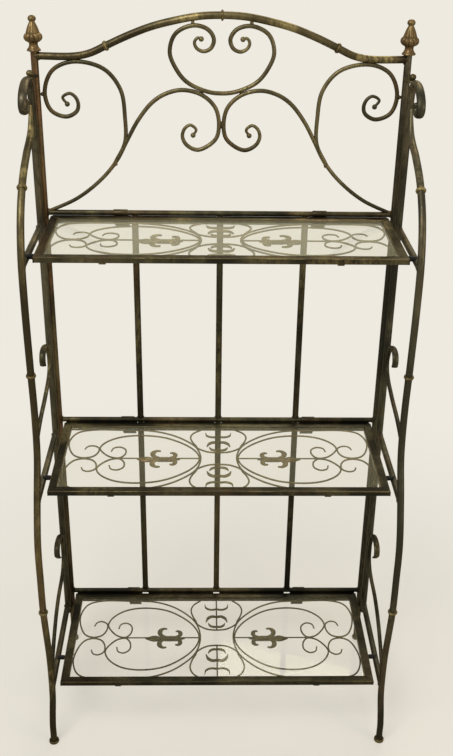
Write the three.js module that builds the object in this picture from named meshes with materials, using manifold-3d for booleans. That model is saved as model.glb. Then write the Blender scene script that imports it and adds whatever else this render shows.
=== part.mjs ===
// Folding iron bakers rack with three glass shelves, scrolled header and cabriole front legs.
// Millimetres. X runs across the rack, -Y is the front and Z is up. Inside the group the posts' axes
// lie in the plane Y = 0; the group then moves the origin to the middle of the footprint.
import * as THREE from 'three';
import { mergeVertices } from 'three/addons/utils/BufferGeometryUtils.js';
import Module from 'manifold-3d';

const wasm = await Module();
wasm.setup();

// Fits
const fitGap = 0.3;
const cutOverrun = 2;

// Back frame
const tubeDiameter = 12.7;
const postSpacing = 646;
const postRise = 1.25;
const headerHeight = 348;
const axleDiameter = 10;
const bottomAxleHeight = 138;
const shelfSpacing = 436;
const barDiameter = 9;
const barSpacing = 158;
const scrollDiameter = 8;
const scrollBallDiameter = 9;
const weldBlockWidth = 5;

// Side frames
const sideSpacing = 658;
const uprightSetback = 25;
const uprightFoot = 104;
const voluteHeight = 1258.5;
const legReach = 282;
const sideBarDiameter = 12;
const sideBarDrop = 19;
const braceDiameter = 8;
const pinDiameter = 8;
const pinForward = 175;
const pinInset = 13.5;
const pinDrop = 14;

// Hinges of the side frames
const lugThickness = 4;
const lugEyeDiameter = 16;
const lugArmWidth = 12;
const lugRise = 1253.8;
const hingePinDiameter = 6.4;
const hingePinLength = 14;
const knobDiameter = 11;
const knobHeight = 10;
const knobShankDepth = 20;

// Shelves
const shelfWidth = 625;
const shelfDepths = { top: 220.5, middle: 252.4, bottom: 273.2 };
const shelfSetback = 8;
const shelfDrop = 6;
const shelfRailWidth = 16;
const shelfRailHeight = 10;
const glassThickness = 5;
const wireDiameter = 3.8;
const fleurReach = 20;
const fleurThickness = 6;
const petalWidth = 8;
const strapSpacing = 368;
const strapWidth = 26;
const strapThickness = 2.4;
const strapLap = 12;
const strapRiseAngle = -Math.PI / 4;
const notchSlack = 2.8;
const nubWidth = 14;
const nubHeight = 5;
const nubSpacing = 396;

// Turned and cast trim
const footDiameter = 20;
const footHeight = 28;
const footFloor = 6;
const rearFootDiameter = 18;
const rearFootHeight = 22;
const finialDiameter = 32.5;
const finialHeight = 59;
const studDiameter = 7;
const studLength = 8;
const collarDiameter = 18;
const collarWidth = 6;
const crownCollarDiameter = 19;
const crownCollarWidth = 4;

// Facets
const tubeSides = 12;
const rodSides = 6;
const legSides = 8;
const wireSides = 4;
const ringSides = 10;
const ballSegments = [6, 4];

// Worked-out places
const tubeRadius = tubeDiameter / 2;
const axleRadius = axleDiameter / 2;
const scrollRadius = scrollDiameter / 2;
const postX = postSpacing / 2;
const sideX = sideSpacing / 2;
const axleHeights = {
  bottom: bottomAxleHeight,
  middle: bottomAxleHeight + shelfSpacing,
  top: bottomAxleHeight + 2 * shelfSpacing,
};
const railEndShare = 0.8;
const postHeight = axleHeights.top + railEndShare * headerHeight + tubeRadius + postRise;
const levels = ['top', 'middle', 'bottom'];
const sides = { left: -1, right: 1 };
const acrossX = new THREE.Vector3(1, 0, 0);
const acrossY = new THREE.Vector3(0, 1, 0);
const acrossZ = new THREE.Vector3(0, 0, 1);

// Solid of a closed geometry, for joining and cutting
function solidOf(geometry) {
  const bare = geometry.clone();
  bare.deleteAttribute('normal');
  bare.deleteAttribute('uv');
  const merged = mergeVertices(bare);
  const corners = merged.index.array;
  const triangles = [];
  for (let i = 0; i < corners.length; i += 3) {
    const [a, b, c] = [corners[i], corners[i + 1], corners[i + 2]];
    if (a !== b && b !== c && c !== a) triangles.push(a, b, c);
  }
  return new wasm.Manifold(new wasm.Mesh({
    numProp: 3,
    vertProperties: Float32Array.from(merged.attributes.position.array),
    triVerts: Uint32Array.from(triangles),
  }));
}

// Geometry of a solid
function geometryOf(solid) {
  const mesh = solid.getMesh();
  const geometry = new THREE.BufferGeometry();
  geometry.setAttribute('position', new THREE.Float32BufferAttribute(mesh.vertProperties, 3));
  geometry.setIndex(Array.from(mesh.triVerts));
  geometry.computeVertexNormals();
  return geometry;
}

// One geometry made of several joined ones, less the cutters
function fuse(bodies, cutters = []) {
  let solid = solidOf(bodies[0]);
  for (const body of bodies.slice(1)) solid = solid.add(solidOf(body));
  for (const cutter of cutters) solid = solid.subtract(solidOf(cutter));
  return geometryOf(solid);
}

// Rod lofted along a flat route; thickness(t) gives its width across and along the normal as shares
function rodAlong(stations, normal, radius, sideCount, steps, thickness = () => [1, 1]) {
  const route = new THREE.CatmullRomCurve3(stations, false, 'centripetal');
  const corners = [];
  for (let ring = 0; ring <= steps; ring += 1) {
    const t = ring / steps;
    const centre = route.getPoint(t);
    const across = new THREE.Vector3().crossVectors(normal, route.getTangent(t)).normalize();
    const [acrossShare, normalShare] = thickness(t);
    for (let corner = 0; corner < sideCount; corner += 1) {
      const angle = (2 * Math.PI * (corner + 1 / 2)) / sideCount;
      corners.push(centre.clone()
        .addScaledVector(across, radius * acrossShare * Math.cos(angle))
        .addScaledVector(normal, radius * normalShare * Math.sin(angle)));
    }
  }
  const faces = [];
  for (let ring = 0; ring < steps; ring += 1) {
    for (let corner = 0; corner < sideCount; corner += 1) {
      const a = ring * sideCount + corner;
      const b = ring * sideCount + ((corner + 1) % sideCount);
      faces.push(a, b, b + sideCount, a, b + sideCount, a + sideCount);
    }
  }
  const last = steps * sideCount;
  for (let corner = 1; corner < sideCount - 1; corner += 1) {
    faces.push(0, corner + 1, corner, last, last + corner, last + corner + 1);
  }
  const geometry = new THREE.BufferGeometry().setFromPoints(corners);
  geometry.setIndex(faces);
  return facingOut(geometry);
}

// Turn a closed geometry's faces round if they point inwards
function facingOut(geometry) {
  const place = geometry.attributes.position;
  const index = geometry.index.array;
  const corner = [new THREE.Vector3(), new THREE.Vector3(), new THREE.Vector3()];
  let volume = 0;
  for (let i = 0; i < index.length; i += 3) {
    for (let k = 0; k < 3; k += 1) corner[k].fromBufferAttribute(place, index[i + k]);
    volume += corner[0].dot(corner[1].clone().cross(corner[2]));
  }
  if (volume < 0) {
    const turned = [];
    for (let i = 0; i < index.length; i += 3) turned.push(index[i], index[i + 2], index[i + 1]);
    geometry.setIndex(turned);
  }
  geometry.computeVertexNormals();
  return geometry;
}

// Straight round rod between two points
function straightRod(from, to, radius, sideCount = tubeSides) {
  const run = new THREE.Vector3().subVectors(to, from);
  const geometry = new THREE.CylinderGeometry(radius, radius, run.length(), sideCount);
  geometry.applyQuaternion(new THREE.Quaternion().setFromUnitVectors(acrossY, run.clone().normalize()));
  const middle = from.clone().addScaledVector(run, 1 / 2);
  return geometry.translate(middle.x, middle.y, middle.z);
}

// Upright round rod on an axis at x, y
function verticalRod(x, y, bottom, top, radius, sideCount = tubeSides) {
  return straightRod(new THREE.Vector3(x, y, bottom), new THREE.Vector3(x, y, top), radius, sideCount);
}

// Box given by its low and high corners
function block(low, high) {
  const size = high.map((value, axis) => value - low[axis]);
  const middle = high.map((value, axis) => (value + low[axis]) / 2);
  return new THREE.BoxGeometry(...size).translate(...middle);
}

// Turned piece whose axis is upright at x, y, from a profile of [radius, height] points
function turned(profile, x, y, z, sideCount = tubeSides) {
  const points = profile.map(([radius, height]) => new THREE.Vector2(radius, height));
  return new THREE.LatheGeometry(points, sideCount).rotateX(Math.PI / 2).translate(x, y, z);
}

// Collar threaded on a rod, with a rounded rim; its axis follows the direction given
function collarRing(diameter, width, centre, direction, threadedRod) {
  const waistShare = 0.86;
  const outer = diameter / 2;
  const profile = [
    [0, -width / 2], [outer * waistShare, -width / 2], [outer, 0], [outer * waistShare, width / 2],
    [0, width / 2],
  ].map(([radius, height]) => new THREE.Vector2(radius, height));
  const geometry = new THREE.LatheGeometry(profile, ringSides);
  geometry.applyQuaternion(new THREE.Quaternion().setFromUnitVectors(acrossY, direction));
  return fuse([geometry.translate(centre.x, centre.y, centre.z)], [threadedRod]);
}

// Thickness of a rod that thins towards either end over a share of its run
function taper(startShare, endShare, reachShare) {
  return (t) => {
    const fromStart = Math.min(t / reachShare, 1);
    const fromEnd = Math.min((1 - t) / reachShare, 1);
    const share = (startShare + (1 - startShare) * fromStart) * (endShare + (1 - endShare) * fromEnd);
    return [share, share];
  };
}

// Header: stations as shares of half the post spacing and of the height from the top axle to the crown
const railShares = [
  [1, railEndShare], [0.789, railEndShare], [0.706, 0.815], [0.619, 0.851], [0.539, 0.885],
  [0.464, 0.914],
  [0.378, 0.943], [0.276, 0.968], [0.127, 0.994], [0, 1],
];
const centreScrollShares = [
  [0.111, 0.888], [0.13, 0.893], [0.147, 0.873], [0.136, 0.845], [0.099, 0.829], [0.059, 0.845],
  [0.044, 0.888], [0.077, 0.934], [0.156, 0.951], [0.248, 0.911], [0.279, 0.825], [0.248, 0.747],
  [0.189, 0.681], [0.08, 0.635], [0, 0.626],
];
const sweepScrollShares = [
  [0.985, 0.003], [0.811, 0.078], [0.67, 0.181], [0.579, 0.282], [0.517, 0.389], [0.458, 0.486],
  [0.381, 0.575], [0.305, 0.621], [0.212, 0.641], [0.108, 0.618], [0.034, 0.555], [0.0129, 0.468],
  [0.031, 0.394], [0.127, 0.339], [0.192, 0.365], [0.214, 0.408], [0.201, 0.448], [0.17, 0.466],
  [0.138, 0.4425], [0.155, 0.414],
];
const sideScrollShares = [
  [0.593, 0.264], [0.5325, 0.374], [0.528, 0.503], [0.548, 0.641], [0.635, 0.741], [0.796, 0.774],
  [0.91, 0.73], [0.957, 0.626], [0.929, 0.534], [0.848, 0.503], [0.79, 0.53], [0.779, 0.565],
  [0.793, 0.601], [0.824, 0.619], [0.862, 0.599], [0.839, 0.566],
];
const railCollarShare = 0.619;
const weldShares = { centreTop: [0.156, 0.951], sideTop: [0.796, 0.774], sidePost: [0.957, 0.615] };
const scrollReachShares = { centre: 0.2, sweep: 0.3, side: 0.35 };
const curlTipShare = 0.62;

// Point of the header's plane from its shares
function headerPoint([acrossShare, upShare], side = 1) {
  return new THREE.Vector3(
    side * acrossShare * postX,
    0,
    axleHeights.top + upShare * headerHeight,
  );
}

// Stations on both sides of the middle from the right-hand half, whose last share is on the middle
function bothHalves(shares) {
  const left = shares.map((share) => headerPoint(share, -1));
  const right = shares.slice(0, -1).map((share) => headerPoint(share, 1)).reverse();
  return left.concat(right);
}

// Back posts, each with the stud for its finial and the lower hinge lug and pin
function postRod(side, grow = 0) {
  return verticalRod(side * postX, 0, footFloor + fitGap, postHeight, tubeRadius + grow);
}

function lugPlate(side, bottom) {
  const shape = new THREE.Shape();
  const run = new THREE.Vector2(side * (sideX - postX), -uprightSetback);
  const turn = Math.atan2(run.y, run.x);
  const eye = lugEyeDiameter / 2;
  const arm = lugArmWidth / 2;
  const meet = Math.asin(arm / eye);
  shape.moveTo(0, -arm);
  shape.absarc(run.length(), 0, eye, meet - Math.PI, Math.PI - meet, false);
  shape.lineTo(0, arm);
  shape.closePath();
  const options = { depth: lugThickness, bevelEnabled: false, curveSegments: tubeSides };
  return new THREE.ExtrudeGeometry(shape, options).rotateZ(turn).translate(side * postX, 0, bottom);
}

function backPost(side) {
  const lugBottom = uprightFoot - fitGap - lugThickness;
  const pinTop = uprightFoot + hingePinLength;
  return fuse([
    postRod(side),
    verticalRod(side * postX, 0, postHeight - cutOverrun, postHeight + studLength, studDiameter / 2),
    lugPlate(side, lugBottom),
    verticalRod(side * sideX, -uprightSetback, lugBottom + lugThickness / 2, pinTop, hingePinDiameter / 2),
  ]);
}

function topHingeLug(side) {
  const eye = verticalRod(
    side * sideX, -uprightSetback, lugRise - cutOverrun, lugRise + lugThickness + cutOverrun,
    hingePinDiameter / 2 + fitGap,
  );
  return fuse([lugPlate(side, lugRise)], [postRod(side, fitGap), eye]);
}

// Turned finial: profile as shares of its bulb's radius and its height
const finialShares = [
  [0.62, 0], [0.73, 0.05], [0.73, 0.09], [0.46, 0.15], [0.46, 0.22], [0.7, 0.29], [0.97, 0.34],
  [1, 0.4], [0.93, 0.46], [0.7, 0.5], [0.55, 0.62], [0.35, 0.76], [0.22, 0.83], [0.38, 0.88],
  [0.38, 0.94], [0.24, 0.985], [0, 1],
];

function finial(side) {
  const bore = studDiameter / 2 + fitGap;
  const socket = [[0, studLength + fitGap], [bore, studLength + fitGap], [bore, 0]];
  const outside = finialShares.map(([across, up]) => [across * (finialDiameter / 2), up * finialHeight]);
  return turned(socket.concat(outside), side * postX, 0, postHeight + fitGap);
}

// Cup ferrule on a tube's end
function ferrule(x, y, diameter, height) {
  const shoulderShare = 0.7;
  const rimShare = 0.82;
  const radius = diameter / 2;
  const bore = tubeRadius + fitGap;
  const profile = [
    [0, 0], [radius * rimShare, 0], [radius, height * (1 - shoulderShare)],
    [radius, height * shoulderShare], [radius * rimShare, height], [bore, height], [bore, footFloor],
    [0, footFloor],
  ];
  return turned(profile, x, y, 0);
}

// Top rail, coped to the posts
function topRailRod(grow = 0) {
  const steps = 2 * (railShares.length - 1) * 2;
  return rodAlong(bothHalves(railShares), acrossY, tubeRadius + grow, legSides, steps);
}

function topRail() {
  return fuse([topRailRod()], [postRod(-1, fitGap), postRod(1, fitGap)]);
}

// Direction of the top rail where a collar sits
function railCollar(share, side, diameter, width) {
  const station = railShares.findIndex(([across]) => across === share);
  const before = headerPoint(railShares[station - 1], side);
  const after = headerPoint(railShares[Math.min(station + 1, railShares.length - 1)], side);
  const direction = share === 0 ? acrossX : after.sub(before).normalize();
  const centre = headerPoint([share, railShares[station][1]], side);
  return collarRing(diameter, width, centre, direction, topRailRod(fitGap));
}

// Header scrolls: rods with thinned, ball-tipped curls and weld blocks where they meet the frame
function tipBall(tipShare, side) {
  const centre = headerPoint(tipShare, side);
  const radius = scrollBallDiameter / 2;
  return new THREE.SphereGeometry(radius, ...ballSegments).translate(centre.x, 0, centre.z);
}

// Block that rises from a scroll into the top rail
function railWeld(share, side) {
  const centre = headerPoint(share, side);
  const half = weldBlockWidth / 2;
  return block(
    [centre.x - half, -half, centre.z],
    [centre.x + half, half, centre.z + tubeDiameter],
  );
}

// Block that runs outwards from a scroll into the post
function postWeld(share, side) {
  const centre = headerPoint(share, side);
  const half = weldBlockWidth / 2;
  const inner = side > 0 ? centre.x : centre.x - tubeDiameter;
  return block(
    [inner, -half, centre.z - half],
    [inner + tubeDiameter, half, centre.z + half],
  );
}

function centreScrollRod(grow = 0) {
  const steps = 38;
  const bulk = taper(curlTipShare, curlTipShare, scrollReachShares.centre);
  return rodAlong(bothHalves(centreScrollShares), acrossY, scrollRadius + grow, rodSides, steps, bulk);
}

function centreScroll() {
  const bodies = [centreScrollRod()];
  for (const side of [-1, 1]) {
    bodies.push(tipBall(centreScrollShares[0], side), railWeld(weldShares.centreTop, side));
  }
  return fuse(bodies, [topRailRod(fitGap)]);
}

function sweepScrollRod(side, grow = 0) {
  const steps = 32;
  const stations = sweepScrollShares.map((share) => headerPoint(share, side));
  const bulk = taper(1, curlTipShare, scrollReachShares.sweep);
  return rodAlong(stations, acrossY, scrollRadius + grow, rodSides, steps, bulk);
}

function sweepScroll(side) {
  const farSide = block(
    [Math.min(-side * postX, side * (fitGap / 2)), -tubeDiameter, axleHeights.top],
    [Math.max(-side * postX, side * (fitGap / 2)), tubeDiameter, postHeight],
  );
  const cutters = [postRod(side, fitGap), axleRod('top', fitGap), centreScrollRod(fitGap), farSide];
  return fuse([sweepScrollRod(side), tipBall(sweepScrollShares.at(-1), side)], cutters);
}

function sideScroll(side) {
  const steps = 26;
  const stations = sideScrollShares.map((share) => headerPoint(share, side));
  const bulk = taper(1, curlTipShare, scrollReachShares.side);
  const bodies = [
    rodAlong(stations, acrossY, scrollRadius, rodSides, steps, bulk),
    tipBall(sideScrollShares.at(-1), side),
    railWeld(weldShares.sideTop, side),
    postWeld(weldShares.sidePost, side),
  ];
  return fuse(bodies, [topRailRod(fitGap), postRod(side, fitGap), sweepScrollRod(side, fitGap)]);
}

// Cross rails, which are also the axles of the shelves
function axleRod(level, grow = 0) {
  const height = axleHeights[level];
  const from = new THREE.Vector3(-postX, 0, height);
  const to = new THREE.Vector3(postX, 0, height);
  return straightRod(from, to, axleRadius + grow);
}

function crossRail(level) {
  return fuse([axleRod(level)], [postRod(-1, fitGap), postRod(1, fitGap)]);
}

// Plain back bar between two cross rails
function backBar(x, upper, lower) {
  const rod = verticalRod(x, 0, axleHeights[lower], axleHeights[upper], barDiameter / 2, legSides);
  return fuse([rod], [axleRod(upper, fitGap), axleRod(lower, fitGap)]);
}

// Side frames: stations as shares of the leg's reach and of the volute's height
const legShares = [
  [1, 0.034], [0.972, 0.052], [0.918, 0.078], [0.908, 0.15], [0.9645, 0.222], [0.996, 0.265],
  [0.998, 0.317], [0.985, 0.384], [0.876, 0.447], [0.762, 0.499], [0.73, 0.566], [0.752, 0.649],
  [0.766, 0.736], [0.748, 0.8], [0.663, 0.85], [0.514, 0.887], [0.319, 0.911], [0.125, 0.929],
  [0.046, 0.962],
];
const voluteShares = [
  [0, 0.963], [0.009, 0.98], [0.036, 0.992], [0.09, 0.999], [0.18, 1], [0.262, 0.994],
  [0.318, 0.984], [0.328, 0.9735], [0.298, 0.966], [0.25, 0.9655], [0.222, 0.971], [0.228, 0.978],
];
const voluteBulkShares = { start: 0.2, full: 0.5, thin: 0.6, wide: 1.5 };
const legCollarShares = { upper: 0.879, middle: 0.6255, lower: 0.26 };
const legTipShare = 0.45;
const legTipReachShare = 0.06;

// Point of a side frame's plane from its shares
function framePoint(side, [outShare, upShare]) {
  return new THREE.Vector3(
    side * sideX,
    -uprightSetback - outShare * legReach,
    upShare * voluteHeight,
  );
}

function uprightRod(side, grow = 0) {
  const steps = 24;
  const foot = new THREE.Vector3(side * sideX, -uprightSetback, uprightFoot);
  const stations = [foot].concat(voluteShares.map((share) => framePoint(side, share)));
  const { start, full, thin, wide } = voluteBulkShares;
  const bulk = (t) => {
    const flat = THREE.MathUtils.smoothstep(t, start, full);
    return [1 - (1 - thin) * flat, 1 + (wide - 1) * flat];
  };
  return rodAlong(stations, acrossX, tubeRadius + grow, legSides, steps, bulk);
}

function upright(side) {
  const bore = hingePinDiameter / 2 + fitGap;
  const axis = [side * sideX, -uprightSetback];
  const footEnds = [uprightFoot - cutOverrun, uprightFoot + hingePinLength + fitGap];
  const headEnds = [lugRise - knobShankDepth - fitGap, lugRise + cutOverrun];
  const cutters = [verticalRod(...axis, ...footEnds, bore), verticalRod(...axis, ...headEnds, bore)];
  return fuse([uprightRod(side)], cutters);
}

function hingeKnob(side) {
  const shank = hingePinDiameter / 2;
  const radius = knobDiameter / 2;
  const under = lugThickness + 2 * fitGap + knobShankDepth;
  const domeShares = [[1, 0], [1, 0.3], [0.82, 0.72], [0.45, 0.95], [0, 1]];
  const profile = [[0, -under], [shank, -under], [shank, 0]]
    .concat(domeShares.map(([across, up]) => [across * radius, up * knobHeight]));
  return turned(profile, side * sideX, -uprightSetback, lugRise + lugThickness + fitGap);
}

function legStations(side) {
  const end = new THREE.Vector3(side * sideX, -uprightSetback - legReach, footFloor + fitGap);
  const ferruleTop = end.clone().setZ(footHeight);
  return [end, ferruleTop].concat(legShares.map((share) => framePoint(side, share)));
}

function legRod(side, grow = 0) {
  const steps = 34;
  const bulk = taper(1, legTipShare, legTipReachShare);
  return rodAlong(legStations(side), acrossX, tubeRadius + grow, legSides, steps, bulk);
}

function frontLeg(side) {
  return fuse([legRod(side)], [uprightRod(side, fitGap)]);
}

// Where the leg's centreline passes a height, and its direction there
function legAt(side, height) {
  const route = new THREE.CatmullRomCurve3(legStations(side), false, 'centripetal');
  let [low, high] = [0, 1];
  const halvings = 40;
  for (let i = 0; i < halvings; i += 1) {
    const middle = (low + high) / 2;
    if (route.getPoint(middle).z < height) low = middle;
    else high = middle;
  }
  return { centre: route.getPoint(low), direction: route.getTangent(low) };
}

function legCollar(side, share) {
  const { centre, direction } = legAt(side, share * voluteHeight);
  return collarRing(collarDiameter, collarWidth, centre, direction, legRod(side, fitGap));
}

// Side bar from upright to leg with the pin that a shelf rests on
function sideBar(side, level) {
  const height = axleHeights[level] - sideBarDrop;
  const from = new THREE.Vector3(side * sideX, -uprightSetback, height);
  const to = new THREE.Vector3(side * sideX, legAt(side, height).centre.y, height);
  const pinY = -uprightSetback - pinForward;
  const pinZ = axleHeights[level] - pinDrop;
  const pinEnd = new THREE.Vector3(side * (shelfWidth / 2 - pinInset), pinY, pinZ);
  const pinStart = new THREE.Vector3(side * sideX, pinY, pinZ);
  const pin = straightRod(pinStart, pinEnd, pinDiameter / 2, legSides);
  const bar = straightRod(from, to, sideBarDiameter / 2, ringSides);
  return fuse([bar, pin], [uprightRod(side, fitGap), legRod(side, fitGap)]);
}

// Braces: S-shaped rods that lean on the upright, each drawn out flat in a hook at the top
const braceRestShare = (tubeRadius + fitGap + braceDiameter / 2) / legReach;
const middleBraceShares = [
  [0.294, 0.594], [0.306, 0.603], [0.284, 0.612], [0.213, 0.615], [0.11, 0.607], [0.055, 0.589],
  [braceRestShare, 0.574], [0.062, 0.562], [0.138, 0.552], [0.248, 0.546], [0.358, 0.541],
  [0.496, 0.5365], [0.62, 0.53],
];
const lowerBraceShares = [
  [0.255, 0.238], [0.31, 0.252], [0.29, 0.264], [0.213, 0.2665], [0.11, 0.259], [0.055, 0.241],
  [braceRestShare, 0.218], [0.058, 0.2], [0.115, 0.1885], [0.206, 0.1835], [0.309, 0.182],
  [0.4, 0.1795], [0.56, 0.168], [0.75, 0.143],
];
const braceEndShares = { middle: 0.518, lower: 0.114 };
const braceHookShares = { full: 0.2, gone: 0.42, thin: 0.6, wide: 1.5 };

function brace(side, shares, endShare) {
  const steps = 22;
  const stations = shares.map((share) => framePoint(side, share));
  stations.push(legAt(side, endShare * voluteHeight).centre);
  const { full, gone, thin, wide } = braceHookShares;
  const bulk = (t) => {
    const flat = 1 - THREE.MathUtils.smoothstep(t, full, gone);
    return [1 - (1 - thin) * flat, 1 + (wide - 1) * flat];
  };
  const rod = rodAlong(stations, acrossX, braceDiameter / 2, rodSides, steps, bulk);
  return fuse([rod], [uprightRod(side, fitGap), legRod(side, fitGap)]);
}

// Shelves: each is built with its own axle at height zero and then raised
function shelfPlan(level) {
  const rear = -shelfSetback;
  const front = rear - shelfDepths[level];
  const inner = shelfWidth / 2 - shelfRailWidth;
  return {
    rear,
    front,
    inner,
    innerRear: rear - shelfRailWidth,
    innerFront: front + shelfRailWidth,
    top: -shelfDrop,
    bottom: -shelfDrop - shelfRailHeight,
  };
}

function shelfRing(plan, grow = 0) {
  const half = shelfWidth / 2;
  const shape = new THREE.Shape([
    new THREE.Vector2(-half, plan.front), new THREE.Vector2(half, plan.front),
    new THREE.Vector2(half, plan.rear), new THREE.Vector2(-half, plan.rear),
  ]);
  const inner = plan.inner - grow;
  shape.holes.push(new THREE.Path([
    new THREE.Vector2(-inner, plan.innerFront + grow), new THREE.Vector2(-inner, plan.innerRear - grow),
    new THREE.Vector2(inner, plan.innerRear - grow), new THREE.Vector2(inner, plan.innerFront + grow),
  ]));
  const options = { depth: shelfRailHeight, bevelEnabled: false };
  return new THREE.ExtrudeGeometry(shape, options).translate(0, 0, plan.bottom);
}

// Strap from its tab below the glass, under the rear rail and up behind it to the sleeve
function strapKnuckle(plan, sleeveRadius) {
  const tab = plan.innerRear - strapLap;
  const under = plan.bottom - strapThickness;
  const section = new THREE.Shape([
    new THREE.Vector2(tab, plan.bottom),
    new THREE.Vector2(tab, under),
    new THREE.Vector2(plan.rear, under),
    new THREE.Vector2(Math.cos(strapRiseAngle), Math.sin(strapRiseAngle)).multiplyScalar(sleeveRadius),
    new THREE.Vector2(0, 0),
    new THREE.Vector2(plan.rear, plan.top),
    new THREE.Vector2(plan.rear - strapThickness, plan.top),
    new THREE.Vector2(plan.rear - strapThickness, plan.bottom),
  ]);
  const knuckle = new THREE.ExtrudeGeometry(section, { depth: strapWidth, bevelEnabled: false });
  return knuckle.applyMatrix4(new THREE.Matrix4().makeBasis(acrossY, acrossZ, acrossX));
}

function shelfFrame(level) {
  const plan = shelfPlan(level);
  const bodies = [shelfRing(plan)];
  const cutters = [straightRod(
    new THREE.Vector3(-postX, 0, 0), new THREE.Vector3(postX, 0, 0), axleRadius + fitGap,
  )];
  const sleeveRadius = axleRadius + fitGap + strapThickness;
  for (const side of [-1, 1]) {
    const middle = (side * strapSpacing) / 2;
    const from = new THREE.Vector3(middle - strapWidth / 2, 0, 0);
    const to = new THREE.Vector3(middle + strapWidth / 2, 0, 0);
    bodies.push(straightRod(from, to, sleeveRadius));
    bodies.push(strapKnuckle(plan, sleeveRadius).translate(from.x, 0, 0));
    const nub = (side * nubSpacing) / 2;
    const low = [nub - nubWidth / 2, plan.front, plan.bottom - nubHeight];
    bodies.push(block(low, [nub + nubWidth / 2, plan.front + shelfRailWidth / 2, plan.bottom]));
    const notchHalf = pinDiameter / 2 + notchSlack;
    const notchY = -uprightSetback - pinForward;
    const edges = [side * (plan.inner - cutOverrun), side * (shelfWidth / 2 + cutOverrun)];
    cutters.push(block(
      [Math.min(...edges), notchY - notchHalf, plan.bottom - cutOverrun],
      [Math.max(...edges), notchY + notchHalf, -pinDrop + pinDiameter / 2 + fitGap],
    ));
  }
  return fuse(bodies, cutters).translate(0, 0, axleHeights[level]);
}

function shelfGlass(level) {
  const plan = shelfPlan(level);
  const half = plan.inner - fitGap;
  const top = plan.top - fitGap;
  return block(
    [-half, plan.innerFront + fitGap, top - glassThickness],
    [half, plan.innerRear - fitGap, top],
  ).translate(0, 0, axleHeights[level]);
}

// Wirework under the glass: stations as shares of the field's half width and half depth
const outerWireShares = [
  [0.887, 0.31], [0.872, 0.4], [0.838, 0.43], [0.798, 0.36], [0.796, 0.2], [0.827, 0.06],
  [0.887, 0.014], [0.945, 0.08], [0.99, 0.33], [1, 0.62], [0.955, 0.9], [0.86, 1], [0.66, 1],
  [0.452, 0.965], [0.304, 0.8], [0.185, 0.52], [0.145, 0.35], [0.124, 0.16], [0.118, 0],
];
const innerWireShares = [
  [0.71, 0.24], [0.697, 0.35], [0.657, 0.385], [0.618, 0.3], [0.618, 0.13], [0.652, 0.014],
  [0.707, 0.04], [0.758, 0.17], [0.788, 0.33], [0.775, 0.47], [0.735, 0.61], [0.654, 0.745],
  [0.523, 0.8], [0.361, 0.72], [0.212, 0.446], [0.145, 0.2], [0.127, 0],
];
const centreLoopShares = [
  [0.12, 1], [0.17, 0.88], [0.188, 0.74], [0.175, 0.57], [0.152, 0.44], [0.139, 0.35],
  [0.072, 0.225], [0, 0.2],
];
const stemShares = { outer: [0.66, 0], inner: [0.125, 0] };
const fleurPlaceShares = [0.384, 0];
const fleurOutlineShares = [
  [-2.2, 0], [-2.1, 0.24], [-1.15, 0.28], [-0.9, 0.15], [0, 0.2], [0.65, 0.2], [0.9, 0.28],
  [1.75, 0.1],
];
const petalShares = {
  large: [[-0.1, 0.1], [-0.55, 0.45], [-0.95, 1], [-0.75, 1.35], [-0.4, 1.47], [0, 1.3]],
  small: [[0.8, 0.1], [1.15, 0.25], [1.33, 0.6], [1.1, 0.9], [0.75, 1]],
};
const centrePetalShares = {
  rail: [[0, 0.77], [0.045, 0.76], [0.078, 0.81], [0.086, 0.9]],
  upper: [[0, 0.56], [0.035, 0.57], [0.062, 0.52], [0.076, 0.43]],
  lower: [[0, 0.29], [0.03, 0.295], [0.05, 0.33], [0.06, 0.38]],
};
const petalTipShare = 0.55;
const wireSquareShare = 1.2;

function wireField(plan) {
  const inset = wireDiameter / 2 + fitGap;
  const depth = plan.innerRear - plan.innerFront;
  return {
    halfWidth: plan.inner - inset,
    halfDepth: depth / 2 - inset,
    middle: (plan.innerRear + plan.innerFront) / 2,
    height: plan.top - 2 * fitGap - glassThickness - wireDiameter / 2,
  };
}

function wirePoint(field, [acrossShare, depthShare], side = 1, end = 1) {
  return new THREE.Vector3(
    side * acrossShare * field.halfWidth,
    field.middle + end * depthShare * field.halfDepth,
    field.height,
  );
}

function wireRod(stations, steps, share = 1) {
  return rodAlong(stations, acrossZ, (wireDiameter / 2) * wireSquareShare * share, wireSides, steps);
}

// One long wire, curled at both ends, from its rear half; the last share is where the halves meet
function longWire(field, shares, side, steps) {
  const rear = shares.map((share) => wirePoint(field, share, side, 1));
  const front = shares.slice(0, -1).map((share) => wirePoint(field, share, side, -1)).reverse();
  return wireRod(rear.concat(front), steps);
}

// Tapered petal of a cast ornament
function petal(stations) {
  const petalSteps = 4;
  const widthShare = petalWidth / wireDiameter;
  const bulk = (t) => [widthShare * (1 - (1 - petalTipShare) * t), 1];
  return rodAlong(stations, acrossZ, wireDiameter / 2, wireSides, petalSteps, bulk);
}

// Cast fleur hanging in the wire's plane: a tongue, a band, a cone and two pairs of curled petals
function fleur(centre, side) {
  const scaled = ([along, across], hand) => (
    new THREE.Vector2(-side * along * fleurReach, hand * across * fleurReach)
  );
  const upper = fleurOutlineShares.map((share) => scaled(share, 1));
  const lower = fleurOutlineShares.slice(1).map((share) => scaled(share, -1)).reverse();
  const options = { depth: fleurThickness, bevelEnabled: false };
  const core = new THREE.ExtrudeGeometry(new THREE.Shape(upper.concat(lower)), options);
  const bodies = [core.translate(0, 0, wireDiameter / 2 - fleurThickness)];
  for (const hand of [-1, 1]) {
    for (const shares of Object.values(petalShares)) {
      const stations = shares.map((share) => scaled(share, hand));
      bodies.push(petal(stations.map((point) => new THREE.Vector3(point.x, point.y, 0))));
    }
  }
  return bodies.map((body) => body.translate(centre.x, centre.y, centre.z));
}

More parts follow.
